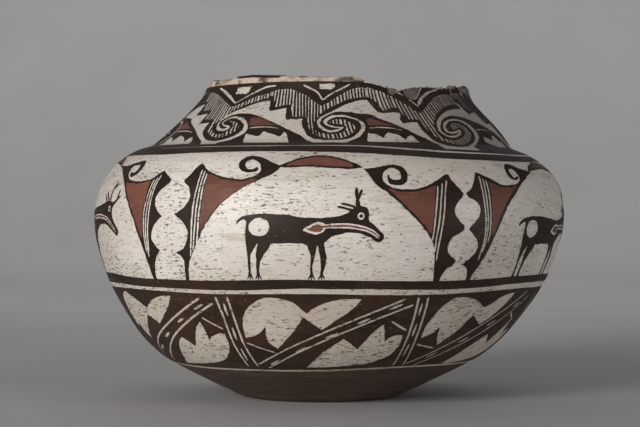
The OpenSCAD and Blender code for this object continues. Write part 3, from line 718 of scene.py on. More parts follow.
# Where the slip and paint have come away under the break
SPALLS = [[(20, 219.7), (20.3, 215.5), (20.8, 213), (22.3, 212.2), (23.5, 213.5), (25, 215.3), (26.6, 216.6),
           (26.8, 219)],
          [(27.3, 219), (27, 214.5), (27.8, 211), (29, 209.6), (31, 209.3), (32.6, 210.4), (33.9, 212.5),
           (35.3, 215.5), (36.8, 219.6)],
          [(60.2, 223), (60.8, 218), (61.5, 215.5), (62.6, 213.5), (63.5, 215), (63.8, 219)]]
for spall in SPALLS:
    canvas.fill("bare", spall, rough=0.3)
canvas.pieces([("slip", "white_neck", SLIP_LOOK, ["neck_slip"], "white_slip")], 0, SLIP)


# Framing lines: degrees round the jar, and heights of their lower and upper edges
WAIST_LOW = at([(-180, 83.5), (-65, 84), (-60, 83.5), (-50, 82.9), (-40, 82.6), (-30, 82), (-20, 82.2),
                (-10, 83.3), (-5, 83.8), (0, 83.4), (10, 83.3), (20, 82.5), (30, 82.2), (40, 82.9),
                (50, 84.4), (60, 85), (70, 84.9), (180, 83.5)])
WAIST_HIGH = at([(-180, 89), (-70, 91), (-60, 89.3), (-50, 88.5), (-40, 88.3), (-30, 88.2), (-20, 88.7),
                 (-10, 89.2), (0, 89), (10, 88.5), (20, 88), (30, 88), (40, 88.3), (50, 89.5), (60, 90),
                 (70, 90), (180, 89)])
FIELD_HIGH = at([(-180, 80), (-60, 81), (-50, 80.5), (-40, 79.9), (-30, 79.3), (-20, 79.5), (-10, 79.9),
                 (0, 80), (10, 79.3), (20, 78.9), (30, 79), (40, 79.9), (50, 80.7), (60, 81.2), (70, 80.9),
                 (180, 80)])
field_waver = waver(4, 0.15)
SHOULDER_LOW = at([(-180, 171.4), (-70, 172.3), (-60, 172), (-50, 171.6), (-40, 171.9), (-30, 172.2),
                   (-20, 172.4), (-10, 172.3), (0, 171.8), (5, 171.4), (10, 170.8), (15, 170.1), (20, 169.3),
                   (25, 168.6), (30, 168), (40, 167.4), (50, 167), (60, 167.1), (70, 167.9), (180, 171.4)])
SHOULDER_HIGH = at([(-180, 176), (-30, 176), (-10, 175.9), (0, 175.8), (10, 175.2), (20, 173.4), (30, 172),
                    (40, 171.3), (60, 170.9), (90, 172.5), (180, 176)])
THIN_LOW = at([(-180, 176.4), (-20, 176.5), (0, 176.6), (10, 176.3), (20, 174.9), (30, 173.5), (40, 172.8),
               (60, 172.2), (90, 173.7), (180, 176.4)])
THIN_HIGH = at([(-180, 177.9), (-20, 178), (0, 178.2), (10, 177.8), (20, 176.2), (30, 174.7), (40, 174.1),
                (60, 173.3), (90, 174.9), (180, 177.9)])


def painted_line(name, low, high, node, seed, size=0.22):
    """A framing line all round, each edge with a waver of its own."""
    under, over = waver(seed, size), waver(seed + 1, size)
    layer(name, lambda t: low(t) + under(t), lambda t: high(t) + over(t), SLIP, SLIP + LINE_PAINT, DARK,
          [node], 1.2)


painted_line("waist_stripe", WAIST_LOW, WAIST_HIGH, "waist_line", 31)
painted_line("shoulder_stripe", SHOULDER_LOW, SHOULDER_HIGH, "shoulder_line", 33)
painted_line("thin_stripe", THIN_LOW, THIN_HIGH, "thin_line", 35, 0.12)
rim_low, rim_high = waver(37, 0.15), waver(38, 0.2)
RIM_LOW, RIM_HIGH = 220, 221.6
# The stripe runs from the far side of the break round to the near one
RIM_SPAN = -272, 10.4
layer("rim_stripe", lambda t: RIM_LOW + rim_low(t), lambda t: RIM_HIGH + rim_high(t), SLIP, SLIP + LINE_PAINT,
      DARK, ["rim_line"], 1.2, RIM_SPAN)


def moved(place, points):
    """Points as they stand in a place: degrees round, stretch in width and millimetres up."""
    return [(place[0] + place[1] * t, z + place[2]) for t, z in points]


def oval(theta, z, wide, high, count):
    """Points round an oval: its middle, half its width in degrees and half its height in millimetres."""
    turns = np.linspace(0, 6.28, count + 1)[:-1]
    return [(theta + wide * math.cos(a), z + high * math.sin(a)) for a in turns]


# Waver of the red areas' edges
RED_ROUGH = 0.16


# Arched panels: two curtains with a curl, the lens over the arch, and a deer
def curtain(c, outline, red, lines, width=1.25):
    """Dark curtain as one silhouette, its red part and its pale lines."""
    c.fill("curtain", *outline)
    c.fill("curtain_red", *red, rough=RED_ROUGH)
    for p in lines:
        c.line("bare", p, width, taper=(1, 0.5))


LEFT = dict(
    outline=[[(-35.7, 87), (-35.4, 93), (-35.25, 97.3), (-35, 100.7), (-35.7, 104), (-37.1, 106.3)],
             [(-37.1, 106.3), (-36.2, 107.3), (-35, 108.7), (-33.75, 113.3), (-33.1, 119.3), (-33.75, 124),
              (-35, 128), (-36.5, 130.7), (-36.9, 132.3)],
             [(-36.9, 132.3), (-36, 132.8), (-35, 134.7), (-33.75, 137.3), (-33, 141.3), (-33, 144),
              (-33.5, 147.3), (-34.1, 150), (-35.5, 152.3)],
             [(-35.5, 152.3), (-35.7, 154), (-35, 155.7), (-34.2, 159), (-33.5, 162), (-32.5, 164.7)],
             [(-32.5, 164.7), (-31.25, 162.3), (-30, 160), (-27.5, 157.3), (-25, 155.4), (-22.5, 154.3),
              (-20.2, 154.2), (-18.3, 155.2), (-16.9, 157)],
             [(-17.8, 161.5), (-18.4, 160.6), (-19.2, 160.5), (-20.2, 161.9), (-20.6, 163.9), (-20.2, 165.9),
              (-19.2, 166.7), (-18, 166.1), (-17.1, 164.2), (-16.7, 162.3), (-16.4, 159.6),
              (-16.9, 157.2)][::-1],
             [(-11.7, 162.2), (-14, 164.8), (-15.9, 167.1), (-17.6, 168.5), (-19.2, 169.1), (-20.8, 168.6),
              (-21.9, 166.8), (-22.3, 164.6), (-22, 161.8), (-21.1, 159.6), (-19.6, 158.4), (-18, 158.6),
              (-17.2, 159.5), (-17.1, 160.7), (-17.5, 161.8)][::-1],
             [(-34.75, 87), (-34.25, 94.7), (-33.5, 100.7), (-32.5, 105.3), (-31.25, 110.7), (-30, 116.7),
              (-29, 122), (-27, 130), (-25, 137.3), (-22.5, 143.3), (-20, 148.3), (-17.5, 152.2),
              (-15.2, 155.1), (-13.7, 157.3), (-12.6, 159.8), (-11.7, 162.2)][::-1]],
    lines=[[(-31.6, 160.6), (-31.5, 150), (-31.7, 140), (-31.9, 128.5), (-32.3, 115.7), (-33, 104)],
           [(-30.7, 159.6), (-30.7, 149.4), (-30.8, 139.3), (-31.1, 126), (-31.7, 113.8), (-32.2, 108)],
           [(-29.9, 158), (-29.9, 148), (-30, 137.3), (-30.3, 124.6), (-30.7, 115.7), (-31.1, 112.5)]],
    red=[[(-29.4, 157.8), (-29.4, 154), (-29.45, 144), (-29.6, 134), (-29.9, 126), (-30.1, 121)],
         [(-29.3, 122), (-27.25, 130), (-25.25, 137.4), (-22.75, 143.4), (-20.25, 148.2), (-17.8, 152.1),
          (-16.6, 154)],
         [(-17.8, 154.2), (-20, 153), (-22.5, 153), (-25, 154), (-27.2, 155.8)]])
RIGHT = dict(
    outline=[[(28, 157.2), (28.4, 153.1), (29.3, 149.8), (30.3, 147), (30.9, 145)],
             [(30.9, 144.6), (30.4, 142.6), (29.4, 140), (28.5, 137), (28.1, 134.4), (28.4, 131.5),
              (29, 128.7), (30, 126), (30.9, 124), (31.1, 121.7)],
             [(31.1, 121.7), (30, 119.3), (28.4, 117.3), (27.5, 114), (27.2, 110.7), (27.5, 107.3),
              (28.75, 104), (30, 102), (30.3, 100.3)],
             [(30.3, 100.3), (29.4, 98), (28.1, 96), (27.2, 92), (26.9, 87)],
             [(7.6, 160.7), (8.4, 157.6), (9.3, 153), (10.4, 149.6), (12, 146.2), (13.6, 142.6),
              (15.5, 137.8), (17.5, 132), (20, 125.3), (22.5, 116.7), (23.75, 110.7), (24.4, 104),
              (24.9, 97.3), (25.1, 92), (25.4, 87)][::-1],
             [(13.2, 157), (12.8, 155.8), (12.8, 154), (13.3, 151.2), (14.1, 150.1), (15.2, 150),
              (16.3, 150.6), (17.2, 153), (17.6, 156.3), (17.5, 159.5), (16.8, 161.9), (15.6, 163.1),
              (14.2, 163.2), (12.4, 162.5), (10.3, 161.3), (7.6, 160.7)][::-1],
             [(12.2, 150.8), (11.7, 152.9), (11.6, 155.6), (12.1, 158.4), (13, 160.4), (14.2, 161.2),
              (15.2, 160.6), (15.9, 158.9), (16.1, 156.6), (15.9, 154.4), (15.1, 153.3), (14.1, 153.6),
              (13.4, 154.9), (13.3, 156.2)][::-1],
             [(12.9, 149.7), (14.3, 148.2), (16.2, 147.4), (18.4, 147.5), (20.7, 148.7), (22.8, 150.9),
              (24.8, 153.8), (26.4, 156.1), (27.4, 157.3), (28, 157.2)]],
    lines=[[(24.4, 149.8), (24.1, 144.5), (23.8, 139), (23.5, 131.5), (23.35, 123), (23.2, 114.5)],
           [(25.7, 151.7), (25.1, 145), (24.7, 136.6), (24.4, 126), (24.1, 116), (24.2, 106.5)],
           [(26.9, 153.4), (26.2, 147.5), (25.8, 140), (25.4, 129), (25.1, 119), (24.9, 108), (25, 101)]],
    red=[[(24, 150.2), (23.6, 146), (23.35, 139), (23.1, 131.5), (22.95, 124), (22.8, 119.5)],
         [(22.5, 119.5), (20.5, 126), (18.1, 132.7), (16.2, 138), (14.4, 143), (12.9, 147)],
         [(12.9, 147.9), (14.4, 146.6), (16.5, 145.9), (19, 146), (21.2, 147.3), (23, 149.3)]])


def lens(c, lower, upper, inset):
    """The lens over an arch: dark, with a red middle."""
    c.fill("crescent", lower, upper[::-1])
    below, above = [(t, z + inset) for t, z in lower[1:-1]], [(t, z - inset) for t, z in upper[-2:0:-1]]
    c.fill("crescent_red", below, above, rough=RED_ROUGH)


def feather(c, theta, z, spread=0.75):
    """A hoof, painted as three short strokes."""
    for d in (-spread, 0, spread):
        c.line("deer", [(theta, z), (theta + d * 0.5, z - 2.2), (theta + d, z - 4.6 + abs(d) * 0.5)],
               [1.1, 1.0, 0.5], taper=(0.2, 1))


# Hind legs and tail of the middle deer, and the pale oval on its rump: place, half width, half height and
# number of points. The left deer has the same ones, turned by the shift in degrees
HIND = [[(-13.3, 110.5), (-14.7, 105.3), (-15.6, 101), (-15.9, 97), (-15.95, 92.5)],
        [(-16.6, 92.5), (-16.55, 97), (-16.5, 102), (-16.4, 107.3), (-16, 113)],
        [(-16, 113), (-17.4, 107.3), (-17.9, 102), (-18, 97), (-17.95, 92.5)],
        [(-18.6, 92.5), (-18.5, 97), (-18.5, 103), (-18.6, 110.7), (-18.8, 117.3), (-18.6, 124),
         (-18.5, 127)],
        [(-18.9, 128.2), (-19.8, 127.2), (-20.75, 124.8)],
        [(-20.75, 124.8), (-20.7, 127), (-20.1, 128.9), (-19.3, 130.2), (-18.5, 130.7)]]
HIND_SHIFT = -74.3
RUMP = -15.6, 123.3, 2.35, 5.9, 12


def deer(c):
    """The deer of the middle panel; what was painted last covers what was painted first."""
    c.fill("deer",
           [(-18.5, 130.7), (-17.5, 131.2), (-14.5, 131.9), (-10, 131), (-5.6, 129.3), (-1.9, 129.1),
            (1, 129.9), (2.7, 130.9), (3.8, 132.7), (4.2, 134)],
           [(4.2, 134), (5.4, 136.4), (6.1, 137), (6.9, 136.6), (7.9, 135.4), (8.3, 133), (8.3, 129.2),
            (8.8, 126.6), (10.3, 122.6), (11.4, 119.8), (11.9, 117.6), (11.6, 114.6), (10.9, 113.6)],
           [(10.2, 113.9), (9.1, 116.1), (7.6, 118), (5.8, 119.5), (4.1, 119.8), (2.5, 119.1), (0.6, 117.3),
            (-0.9, 113.9), (-1.2, 111.2)],
           [(-1.2, 111.2), (-0.9, 107), (-0.6, 103.3), (-0.95, 98), (-1.2, 93)],
           [(-1.9, 93), (-1.8, 98), (-2, 104), (-2.3, 108), (-2.7, 112)],
           [(-2.7, 112), (-3, 108), (-3.3, 104), (-3.7, 98), (-3.6, 93)],
           [(-4.25, 93), (-4.2, 98), (-4.15, 104), (-4.5, 108), (-4.95, 111.3)],
           [(-6, 112.9), (-9.5, 113), (-13, 112.5)],
           *HIND)
    for theta in (-1.55, -3.9, -16.25, -18.25):
        feather(c, theta, 93.6)
    c.line("deer", [(6, 135.5), (5.8, 139.2), (5.7, 142.3)], [3.1, 2.7, 2.6], taper=(1, 0.5))
    # The tips of the horns, and the ears
    for way, widths in (([(5.75, 140.5), (5.6, 143.7), (5.55, 146), (5.6, 148.6)], [2.2, 2.4, 2.2, 1.8]),
                        ([(5.9, 140.5), (6.2, 143.1), (6.5, 145.3), (6.85, 147.3)], [1.6, 1.8, 1.8, 1.6]),
                        ([(5.8, 135.3), (4.6, 136.7), (3.5, 137.6), (2.1, 138.4)], [1.7, 1.5, 1.2]),
                        ([(5, 133.9), (3.7, 134.8), (2.6, 135.5), (1.3, 136.3)], [1.6, 1.4, 1.2])):
        c.line("deer", way, widths, taper=(0.5, 0.9))
    c.fill("bare", oval(*RUMP), loop=True)
    # The line from the heart to the mouth, pale with a red core, and the pointed heart
    way = [(-3, 122.3), (-2, 123.2), (-0.5, 123.8), (1, 124), (3, 124.1), (4.7, 123.8), (6.3, 123),
           (7.8, 121.9), (9.3, 120.1), (10.3, 118), (10.9, 116.2)]
    c.line("bare", way, [2.2, 2.8, 3.1, 3.4, 3.3, 2.8, 2], taper=(0.2, 1))
    c.fill("bare", [(-6, 121.3), (-4.5, 124.7), (-2.9, 126.4), (-1.5, 125.8), (-1, 123.3), (-1.6, 120),
                    (-3, 118.6), (-4.6, 119.6)], loop=True)
    c.line("heartline", way, [1.1, 1.2, 1.3, 1.3, 1.1, 0.9, 0.6])
    c.fill("heartline", [(-5, 121.6), (-3.9, 123.9), (-2.9, 125), (-1.9, 124.3), (-1.6, 122.6), (-2.1, 120.8),
                         (-3, 120.1), (-4, 120.7)], loop=True)
    c.fill("bare", oval(6.6, 130.3, 0.8, 2.35, 9), loop=True, rough=0.05)
    c.fill("deer", oval(6.65, 130.3, 0.42, 1.25, 7), loop=True, rough=0)


def centre_panel(c):
    """The middle panel, which the two at the back repeat."""
    curtain(c, **LEFT)
    curtain(c, **RIGHT)
    lens(c, [(-12.4, 162.3), (-10.6, 161.5), (-7.5, 161.8), (-4.4, 162), (0, 161), (5, 160.6), (7.6, 161.3)],
         [(-12.4, 162.3), (-10, 165.2), (-7, 167.9), (-3, 169.4), (1, 168.3), (5, 164.9), (7.6, 161.3)], 1.1)
    deer(c)


def on_body(theta):
    """Drawn angles of the body as angles round the wall."""
    return theta + np.interp(theta, [-90, -75, -65, -55, -45, -33, -20, -8, 15, 28, 36, 52, 70, 90],
                             [-2, -3.6, -3.2, -1.4, -0.5, -0.35, -0.25, 0, 0.1, 0.45, 0.1, 0.4, 0.3, 0])


def on_neck(theta):
    """Drawn angles of the neck, read off a slightly wider form, as angles round the wall."""
    seen = np.degrees(np.arcsin(np.clip(1.027 * np.sin(np.radians(theta)) - 0.0064, -1, 1)))
    return theta + (seen - theta) * np.clip((80 - np.abs(theta)) / 20, 0, 1)


# Degrees from one panel to the next. At the back the shoulder line is lower, so a panel sinks towards its top
PANEL_TURN = 72
PANEL_LOW, PANEL_HEIGHT, PANEL_SINK = 90, 80, 1.2
# How far the panels run in under the framing lines
TUCK = 1.2
houses = Canvas(lambda t: WAIST_HIGH(t) - TUCK, lambda t: SHOULDER_LOW(t) + TUCK, ALL_ROUND, 51)
houses.drawn = on_body
houses.plain = True
for shift in (-2 * PANEL_TURN, 2 * PANEL_TURN):
    houses.place = shift, 1, lambda z: -PANEL_SINK * (np.asarray(z) - PANEL_LOW) / PANEL_HEIGHT
    centre_panel(houses)
houses.plain = False
houses.place = FRONT
centre_panel(houses)

# The panel on the left, of which the right half shows
houses.place = -PANEL_TURN, 1, 0
curtain(houses, **LEFT)
houses.place = FRONT
curtain(houses,
        [[(-43.3, 160), (-42.7, 158.7), (-41.2, 156.4), (-39.8, 154)],
         [(-39.8, 153.8), (-40.1, 151.7), (-41.6, 149), (-42.7, 145.8), (-43.3, 142), (-43.1, 138),
          (-42.3, 134.3), (-41.2, 131.8), (-40.6, 130.2)],
         [(-40.6, 130), (-41.8, 127.6), (-43.3, 123.5), (-44.1, 119), (-44.2, 115), (-43.4, 111.2),
          (-42.1, 107.6)],
         [(-42.1, 107), (-43.1, 105), (-44, 101.5), (-45, 96), (-45.5, 86)],
         [(-46.4, 86), (-46.8, 94), (-47.2, 102), (-48, 112.2), (-49.8, 125.6), (-51, 131.5), (-52.4, 137),
          (-54.2, 143.3), (-56.2, 150), (-59.1, 156.4), (-63, 162.4), (-66.5, 164.8)],
         [(-66.5, 164.8), (-63.2, 164.7), (-60.7, 164.8), (-58, 166.2), (-55.2, 167.7), (-53.8, 167.3),
          (-53, 165.4), (-52.9, 162.3), (-53.4, 159.2), (-54.8, 156.9), (-55.6, 156.5), (-56.5, 157.8),
          (-56.7, 160)],
         [(-56.3, 159.8), (-55.3, 159.4), (-54.5, 161.3), (-54.6, 164.5), (-56.2, 164.9), (-57.6, 164.2),
          (-57.9, 162), (-57.5, 158.5), (-56.2, 155.9)],
         [(-54.9, 154.4), (-53, 153.7), (-51, 153.5), (-48.8, 153.9), (-47, 154.8), (-45.5, 157.4),
          (-44.3, 159.4), (-43.4, 160.2)]],
        [[(-55.7, 152.8), (-53.2, 152.1), (-50.4, 152.1), (-48.2, 152.8), (-46.9, 153.5)],
         [(-46.6, 153.4), (-46.7, 144.7), (-46.9, 133.7), (-47.1, 122), (-47.4, 115.5)],
         [(-47.6, 116), (-48.5, 121.5), (-49.6, 128.2), (-50.9, 134.3), (-52.6, 139.9), (-54.5, 146.6),
          (-56, 152.3)]],
        [[(-45.7, 154.8), (-45.9, 149.7), (-46.2, 142), (-46.5, 134), (-46.6, 126), (-46.7, 116),
          (-46.6, 105.5)],
         [(-44.8, 156.2), (-45.1, 150), (-45.4, 142), (-45.7, 134), (-45.9, 126), (-46.1, 116), (-46.1, 103)],
         [(-43.9, 157.6), (-44.4, 150), (-44.75, 142), (-44.9, 134), (-45.15, 126), (-45.5, 116),
          (-45.8, 106.5)]], 1.3)
lens(houses, [(-83, 167.3), (-80, 168), (-75, 167.6), (-70, 166.3), (-65.4, 164.9)],
     [(-83, 171.4), (-80, 172), (-75, 172.2), (-70, 170.3), (-65.4, 164.9)], 1)
houses.fill("deer",
            [(-92.8, 130.7), (-91.5, 131.2), (-88, 131.3), (-84, 131.8), (-79, 134.4), (-75.4, 135.9),
             (-69.2, 137.5), (-65.5, 139), (-62.6, 140.7)],
            [(-62.6, 140.7), (-60.8, 140.4), (-59, 138.6)],
            [(-58.8, 138.4), (-59.6, 136.5), (-59.8, 133), (-59.5, 130), (-58.4, 125.6), (-57.2, 122.2),
             (-56.9, 119.4), (-57.6, 116.8)],
            [(-57.8, 117), (-59.9, 120.4), (-61.8, 123.3), (-63.8, 124.8), (-66.5, 124.9), (-69.4, 122.9),
             (-71.6, 120), (-73, 116), (-74, 111), (-75.3, 104), (-76.5, 93.5)],
            [(-77.2, 93), (-77.3, 98), (-77.4, 104), (-77.6, 108), (-78, 112)],
            [(-78, 112), (-78.5, 108), (-79, 104), (-79.3, 98), (-79.3, 93)],
            [(-80, 93), (-80, 98), (-80, 104), (-80.3, 108), (-80.8, 111.3)],
            [(-81.5, 112.9), (-84.5, 113), (-87.3, 112.5)],
            *(moved((HIND_SHIFT, 1, 0), part) for part in HIND))
for theta in (-76.9, -79.65, HIND_SHIFT - 16.25, HIND_SHIFT - 18.25):
    feather(houses, theta, 93.6)
houses.fill("bare", oval(HIND_SHIFT + RUMP[0], *RUMP[1:]), loop=True)
houses.fill("bare", [(-80, 125.6), (-78.5, 129), (-76.9, 130.7), (-75.5, 130.2), (-75, 127.7), (-75.6, 124.4),
                     (-77, 122.9), (-78.6, 123.9)], loop=True)
houses.fill("heartline", [(-79, 125.9), (-77.9, 128.2), (-76.9, 129.3), (-75.9, 128.6), (-75.6, 126.9),
                          (-76.1, 125.1), (-77, 124.4), (-78, 125)], loop=True)
way = [(-76.6, 127), (-75.3, 128.7), (-73.5, 129.7), (-70, 130.3), (-67.1, 130.2), (-63.9, 129.3),
       (-61.8, 127.4), (-60.2, 124.7), (-58.7, 121.7), (-57.8, 119.6)]
houses.line("bare", way, [3.2, 3.2, 3, 2.2])
houses.line("heartline", way, [1.3, 1.2, 0.9])
houses.fill("bare", oval(-61.2, 135.4, 0.7, 2.2, 9), loop=True, rough=0.05)
houses.fill("deer", oval(-61.1, 135.2, 0.3, 1, 7), loop=True, rough=0)
for way, width in (([(-63.4, 139.5), (-64.2, 142.3), (-65.2, 144.6)], 1.7),
                   ([(-61.9, 139.7), (-63.1, 143.4), (-64.4, 147)], 1.8),
                   ([(-61.1, 139.5), (-61.4, 143.5), (-61.3, 147.5), (-60.8, 150.8), (-60.4, 153.8)], 1.7),
                   ([(-61, 149), (-60, 150.9), (-59, 152.4)], 1.4),
                   ([(-60.3, 137.5), (-58.9, 139.5), (-58, 141.6), (-57.7, 144.6), (-57.6, 148)], 2),
                   ([(-58.3, 140.7), (-57.4, 142.5), (-56.7, 144.2)], 1.5)):
    houses.line("deer", way, [width * 1.15, width, width * 0.7], taper=(0.5, 0.8))

# The panel on the right, of which the left half shows
houses.place = PANEL_TURN, 1, 0
curtain(houses, **RIGHT)
houses.place = FRONT
curtain(houses,
        [[(35.9, 86), (36.6, 92), (37.5, 96.7), (38.4, 102), (39.4, 108), (40.3, 115.3), (41.6, 124),
          (43.1, 132), (45, 139.3), (47.5, 145.3), (49.7, 150), (51.9, 153.3), (55, 156.7), (58.3, 159.6)],
         [(56.9, 160.9), (54, 161.9), (51.8, 163.7), (49.9, 165), (48.4, 164.6), (47.4, 162.2), (46.9, 158.8),
          (47.3, 155.6), (48.4, 154.3), (49.8, 154.7), (50.8, 156.4)],
         [(50.2, 156.7), (49.4, 155.8), (48.7, 155.8), (48.3, 158), (48.4, 160.6), (49.3, 161.9),
          (50.4, 161.3), (51.1, 158.8), (51.2, 155.6)],
         [(50.6, 153.9), (49.3, 152), (47.4, 151), (45, 150.7), (43, 151), (41.6, 152.8), (39.8, 155.3),
          (38, 157.6), (36.4, 158.7)],
         [(36.2, 158.3), (35.4, 155), (34.5, 151.6), (33.2, 147.9), (31.8, 145.3)],
         [(31.8, 144.5), (32.5, 142.3), (34, 140.7), (35.2, 137.8), (35.6, 134.7), (35.3, 130.7), (34, 126),
          (32.8, 123.3), (32.4, 121.3)],
         [(32.4, 121.3), (33.75, 118.7), (35.3, 114.7), (35.9, 110.7), (35.6, 106.7), (34.4, 102.7),
          (33.1, 100.3), (32.6, 98)],
         [(32.6, 98), (33.75, 96.7), (34.6, 93.3), (35, 86)]],
        [[(39.1, 152.6), (39.15, 142), (39.15, 132), (39.4, 121), (39.6, 117)],
         [(40.2, 119), (42, 131.5), (43.9, 139.5), (46.4, 145.9), (48.6, 150.1), (49, 150.6)],
         [(48.4, 150.2), (45.6, 149.4), (42.8, 149.6), (40.9, 151.5)]],
        [[(37, 156.4), (36.7, 150), (36.8, 143.5), (37, 135), (37.4, 125), (37.55, 116), (37.3, 107.5),
          (37, 101)],
         [(37.8, 155), (37.6, 147), (37.7, 137), (38, 127.5), (38.1, 118), (37.9, 110.5), (37.6, 106)],
         [(38.5, 153.6), (38.55, 145), (38.6, 135), (38.8, 126), (38.9, 118.5), (38.7, 112.5)]], 1.35)
lens(houses, [(57.4, 160), (59.8, 161), (64.4, 162), (70, 162.7), (76, 161.3), (84, 160)],
     [(57.4, 160), (59.4, 163.6), (62.5, 165.6), (67.5, 167.3), (76, 165.6), (84, 160)], 1.1)
houses.place = PANEL_TURN, 1.128, -1.5
deer(houses)
houses.pieces([("curtain", "curtains", DARK, ["curtain_paint"], "dark_paint"),
               ("curtain_red", "curtain_reds", RED, ["curtain_red"], "red_paint"),
               ("crescent", "arch_lenses", DARK, ["arch_crescents"], "dark_paint"),
               ("crescent_red", "arch_reds", RED, ["arch_red"], "red_paint"),
               ("deer", "deer", DARK, ["deer_paint"], "dark_paint"),
               ("heartline", "heart_lines", RED, ["heartlines"], "red_paint")])


# Lower band: dark, with pale leaves, diagonals with small leaves between them, and posts
DIAGONAL_WIDTH, POST_WIDTH, TWIG_WIDTH = 1.7, 1.6, 1.4


def sprig(c, theta, z, slant=3.4, rise=3.7, width=2.1):
    """A small pale leaf between two lines."""
    c.line("bare", [(theta - slant / 2, z - rise / 2), (theta, z), (theta + slant / 2, z + rise / 2)],
           [width * 0.6, width, width * 0.6], taper=(0.6, 0.6), rough=0.1)


POST_LEAVES = [(-26.2, 69), (-25.5, 52.5), (-24.9, 38)]


def post(c, left, right, sprigs=POST_LEAVES):
    """The two pale lines between leaf panels, with upright leaves between them."""
    c.line("bare", left, POST_WIDTH)
    c.line("bare", right, POST_WIDTH)
    for theta, z in sprigs:
        sprig(c, theta, z, -0.3, 9, 1.9)


UPPER_LEAF = [[(-22.3, 50), (-22.4, 57.5), (-21.5, 65), (-20, 70.5), (-18, 74.4), (-16, 76.8), (-14, 77.5),
               (-12, 77), (-9, 75), (-7, 71.5), (-5, 66.8)],
              [(-5, 66.8), (-3, 71), (0, 74.5), (3, 76.3), (6, 76.8), (8.4, 76.2)],
              [(8.4, 76.2), (7, 71.5), (5, 66.5), (3, 63), (1, 59), (-0.8, 55.8)],
              [(-0.8, 55.8), (-3, 59.5), (-5, 63), (-6, 64)],
              [(-6, 64), (-7, 60), (-8.5, 54.5), (-11, 48), (-13.4, 42.3)],
              [(-13.4, 42.3), (-15.5, 46.5), (-16.2, 51), (-16, 57.7)],
              [(-16, 57.7), (-17.5, 54), (-19.5, 51.5), (-22.3, 50)]]
LOWER_LEAF = [[(-5.4, 29.3), (-3, 34), (0, 40.5), (2.5, 45), (5.3, 49.6)],
              [(5.3, 49.6), (7, 47.5), (8.6, 44.8), (10, 42.5)],
              [(10, 42.5), (11.5, 48), (13, 53.5), (15.4, 59.9)],
              [(15.4, 59.9), (16.3, 55), (16.9, 51), (17.3, 47.5)],
              [(17.3, 47.5), (18.5, 50.5), (20.5, 52), (22.1, 51.7)],
              [(22.1, 51.7), (22.4, 46), (22, 42), (20.5, 37), (17, 33.5), (13, 31.4), (4, 29.8),
               (-5.4, 29.3)]]


def leaf_panel(c, leaves, ways, small, twigs):
    """Large pale leaves, the pale lines that cross them from the lower left, small leaves and twigs."""
    for leaf in leaves:
        c.fill("bare", *leaf)
    for way in ways:
        c.line("bare", way, [DIAGONAL_WIDTH, DIAGONAL_WIDTH * 0.9, DIAGONAL_WIDTH], taper=(1, 0.8))
    for theta, z in small:
        sprig(c, theta, z)
    for twig in twigs:
        c.line("bare", twig, TWIG_WIDTH)


# The middle leaf panel, which the four at the back repeat
MIDDLE = dict(
    leaves=[UPPER_LEAF, LOWER_LEAF],
    ways=[[(-21.5, 31), (-10, 43.3), (5, 60), (19.5, 76.5)],
          [(-18.5, 28.5), (-5, 43), (10, 59.5), (22, 72.5)]],
    small=[(-15.5, 32.8), (-6.5, 42.2), (2, 52), (10, 61.8), (17.5, 71.3)],
    twigs=[[(-22.5, 46.5), (-18.5, 43), (-14.5, 40)], [(17.5, 61.5), (20, 58), (22.5, 55)]])
# Degrees from one of the seven leaf panels to the next, and the white left between the foot and the band
LEAF_TURN = 360 / 7
FOOT_GAP = 1.45
band = Canvas(lambda t: FOOT_EDGE(t) + FOOT_GAP + field_waver(t), FIELD_HIGH, ALL_ROUND, 61)
band.drawn = on_body
band.fill("field", [(-181, 20), (181, 20)], [(181, 90), (-181, 90)], rough=0)
band.plain = True
for i in (2, 3, -2, -3):
    band.place = LEAF_TURN * i, 1, 0
    leaf_panel(band, **MIDDLE)
    post(band, [(-28.3, 77.5), (-27.5, 65), (-26.8, 50), (-26.3, 40), (-25.7, 29.5)],
         [(-25, 77.5), (-24.2, 60), (-23.5, 45), (-22.4, 29.5)])
band.plain = False
band.place = FRONT
leaf_panel(band, **MIDDLE)
post(band, [(-28.3, 77.8), (-27.5, 65), (-27, 50), (-26.5, 40), (-25.7, 29.2)],
     [(-25, 77.8), (-24.2, 60), (-23.5, 45), (-22, 29.2)])
post(band, [(22.7, 77.4), (23.5, 60), (24, 45), (24.5, 30)],
     [(25.3, 77.4), (26.2, 60), (26.9, 45), (28.3, 30)],
     [(24.3, 69), (25, 55), (25.6, 41)])
leaf_panel(band,
           [[[(28.2, 49.3), (28, 57), (28.8, 63), (30, 69), (32, 74), (34, 76.7), (36, 76.8), (40, 75.5),
              (43, 72.5), (45.8, 69.2)],
             [(45.8, 69.2), (48, 71.5), (50, 75), (53, 77.5), (56.6, 78.5)],
             [(56.6, 78.5), (55.5, 73), (54, 68), (51, 61), (48.2, 57.2)],
             [(48.2, 57.2), (45, 61.5), (43.2, 64)],
             [(43.2, 64), (42, 59), (40.5, 53), (38, 48), (36.2, 43.9)],
             [(36.2, 43.9), (34.5, 48), (33.5, 53), (33.2, 56.3)],
             [(33.2, 56.3), (31.5, 52.5), (28.2, 49.3)]]],
           [[(28.9, 31), (45, 50), (55, 64.5), (64.5, 79)],
            [(32.8, 29.7), (50, 48), (62, 65), (68, 76)]],
           [(37, 36.8), (46, 46.5), (54, 57.5), (62, 69.5)],
           [[(28, 45), (32, 43.2), (36, 41.5)],
            [(62, 64), (65, 61), (68, 58)]])
band.place = LEAF_TURN, 1, 0
band.fill("bare", *LOWER_LEAF)
band.place = FRONT
post(band, [(74.1, 78), (75, 60), (75.5, 45), (76, 30)], [(76.7, 78), (77.6, 60), (78.3, 45), (79.7, 30)],
     [(75.8, 69), (76.4, 55), (77, 41)])
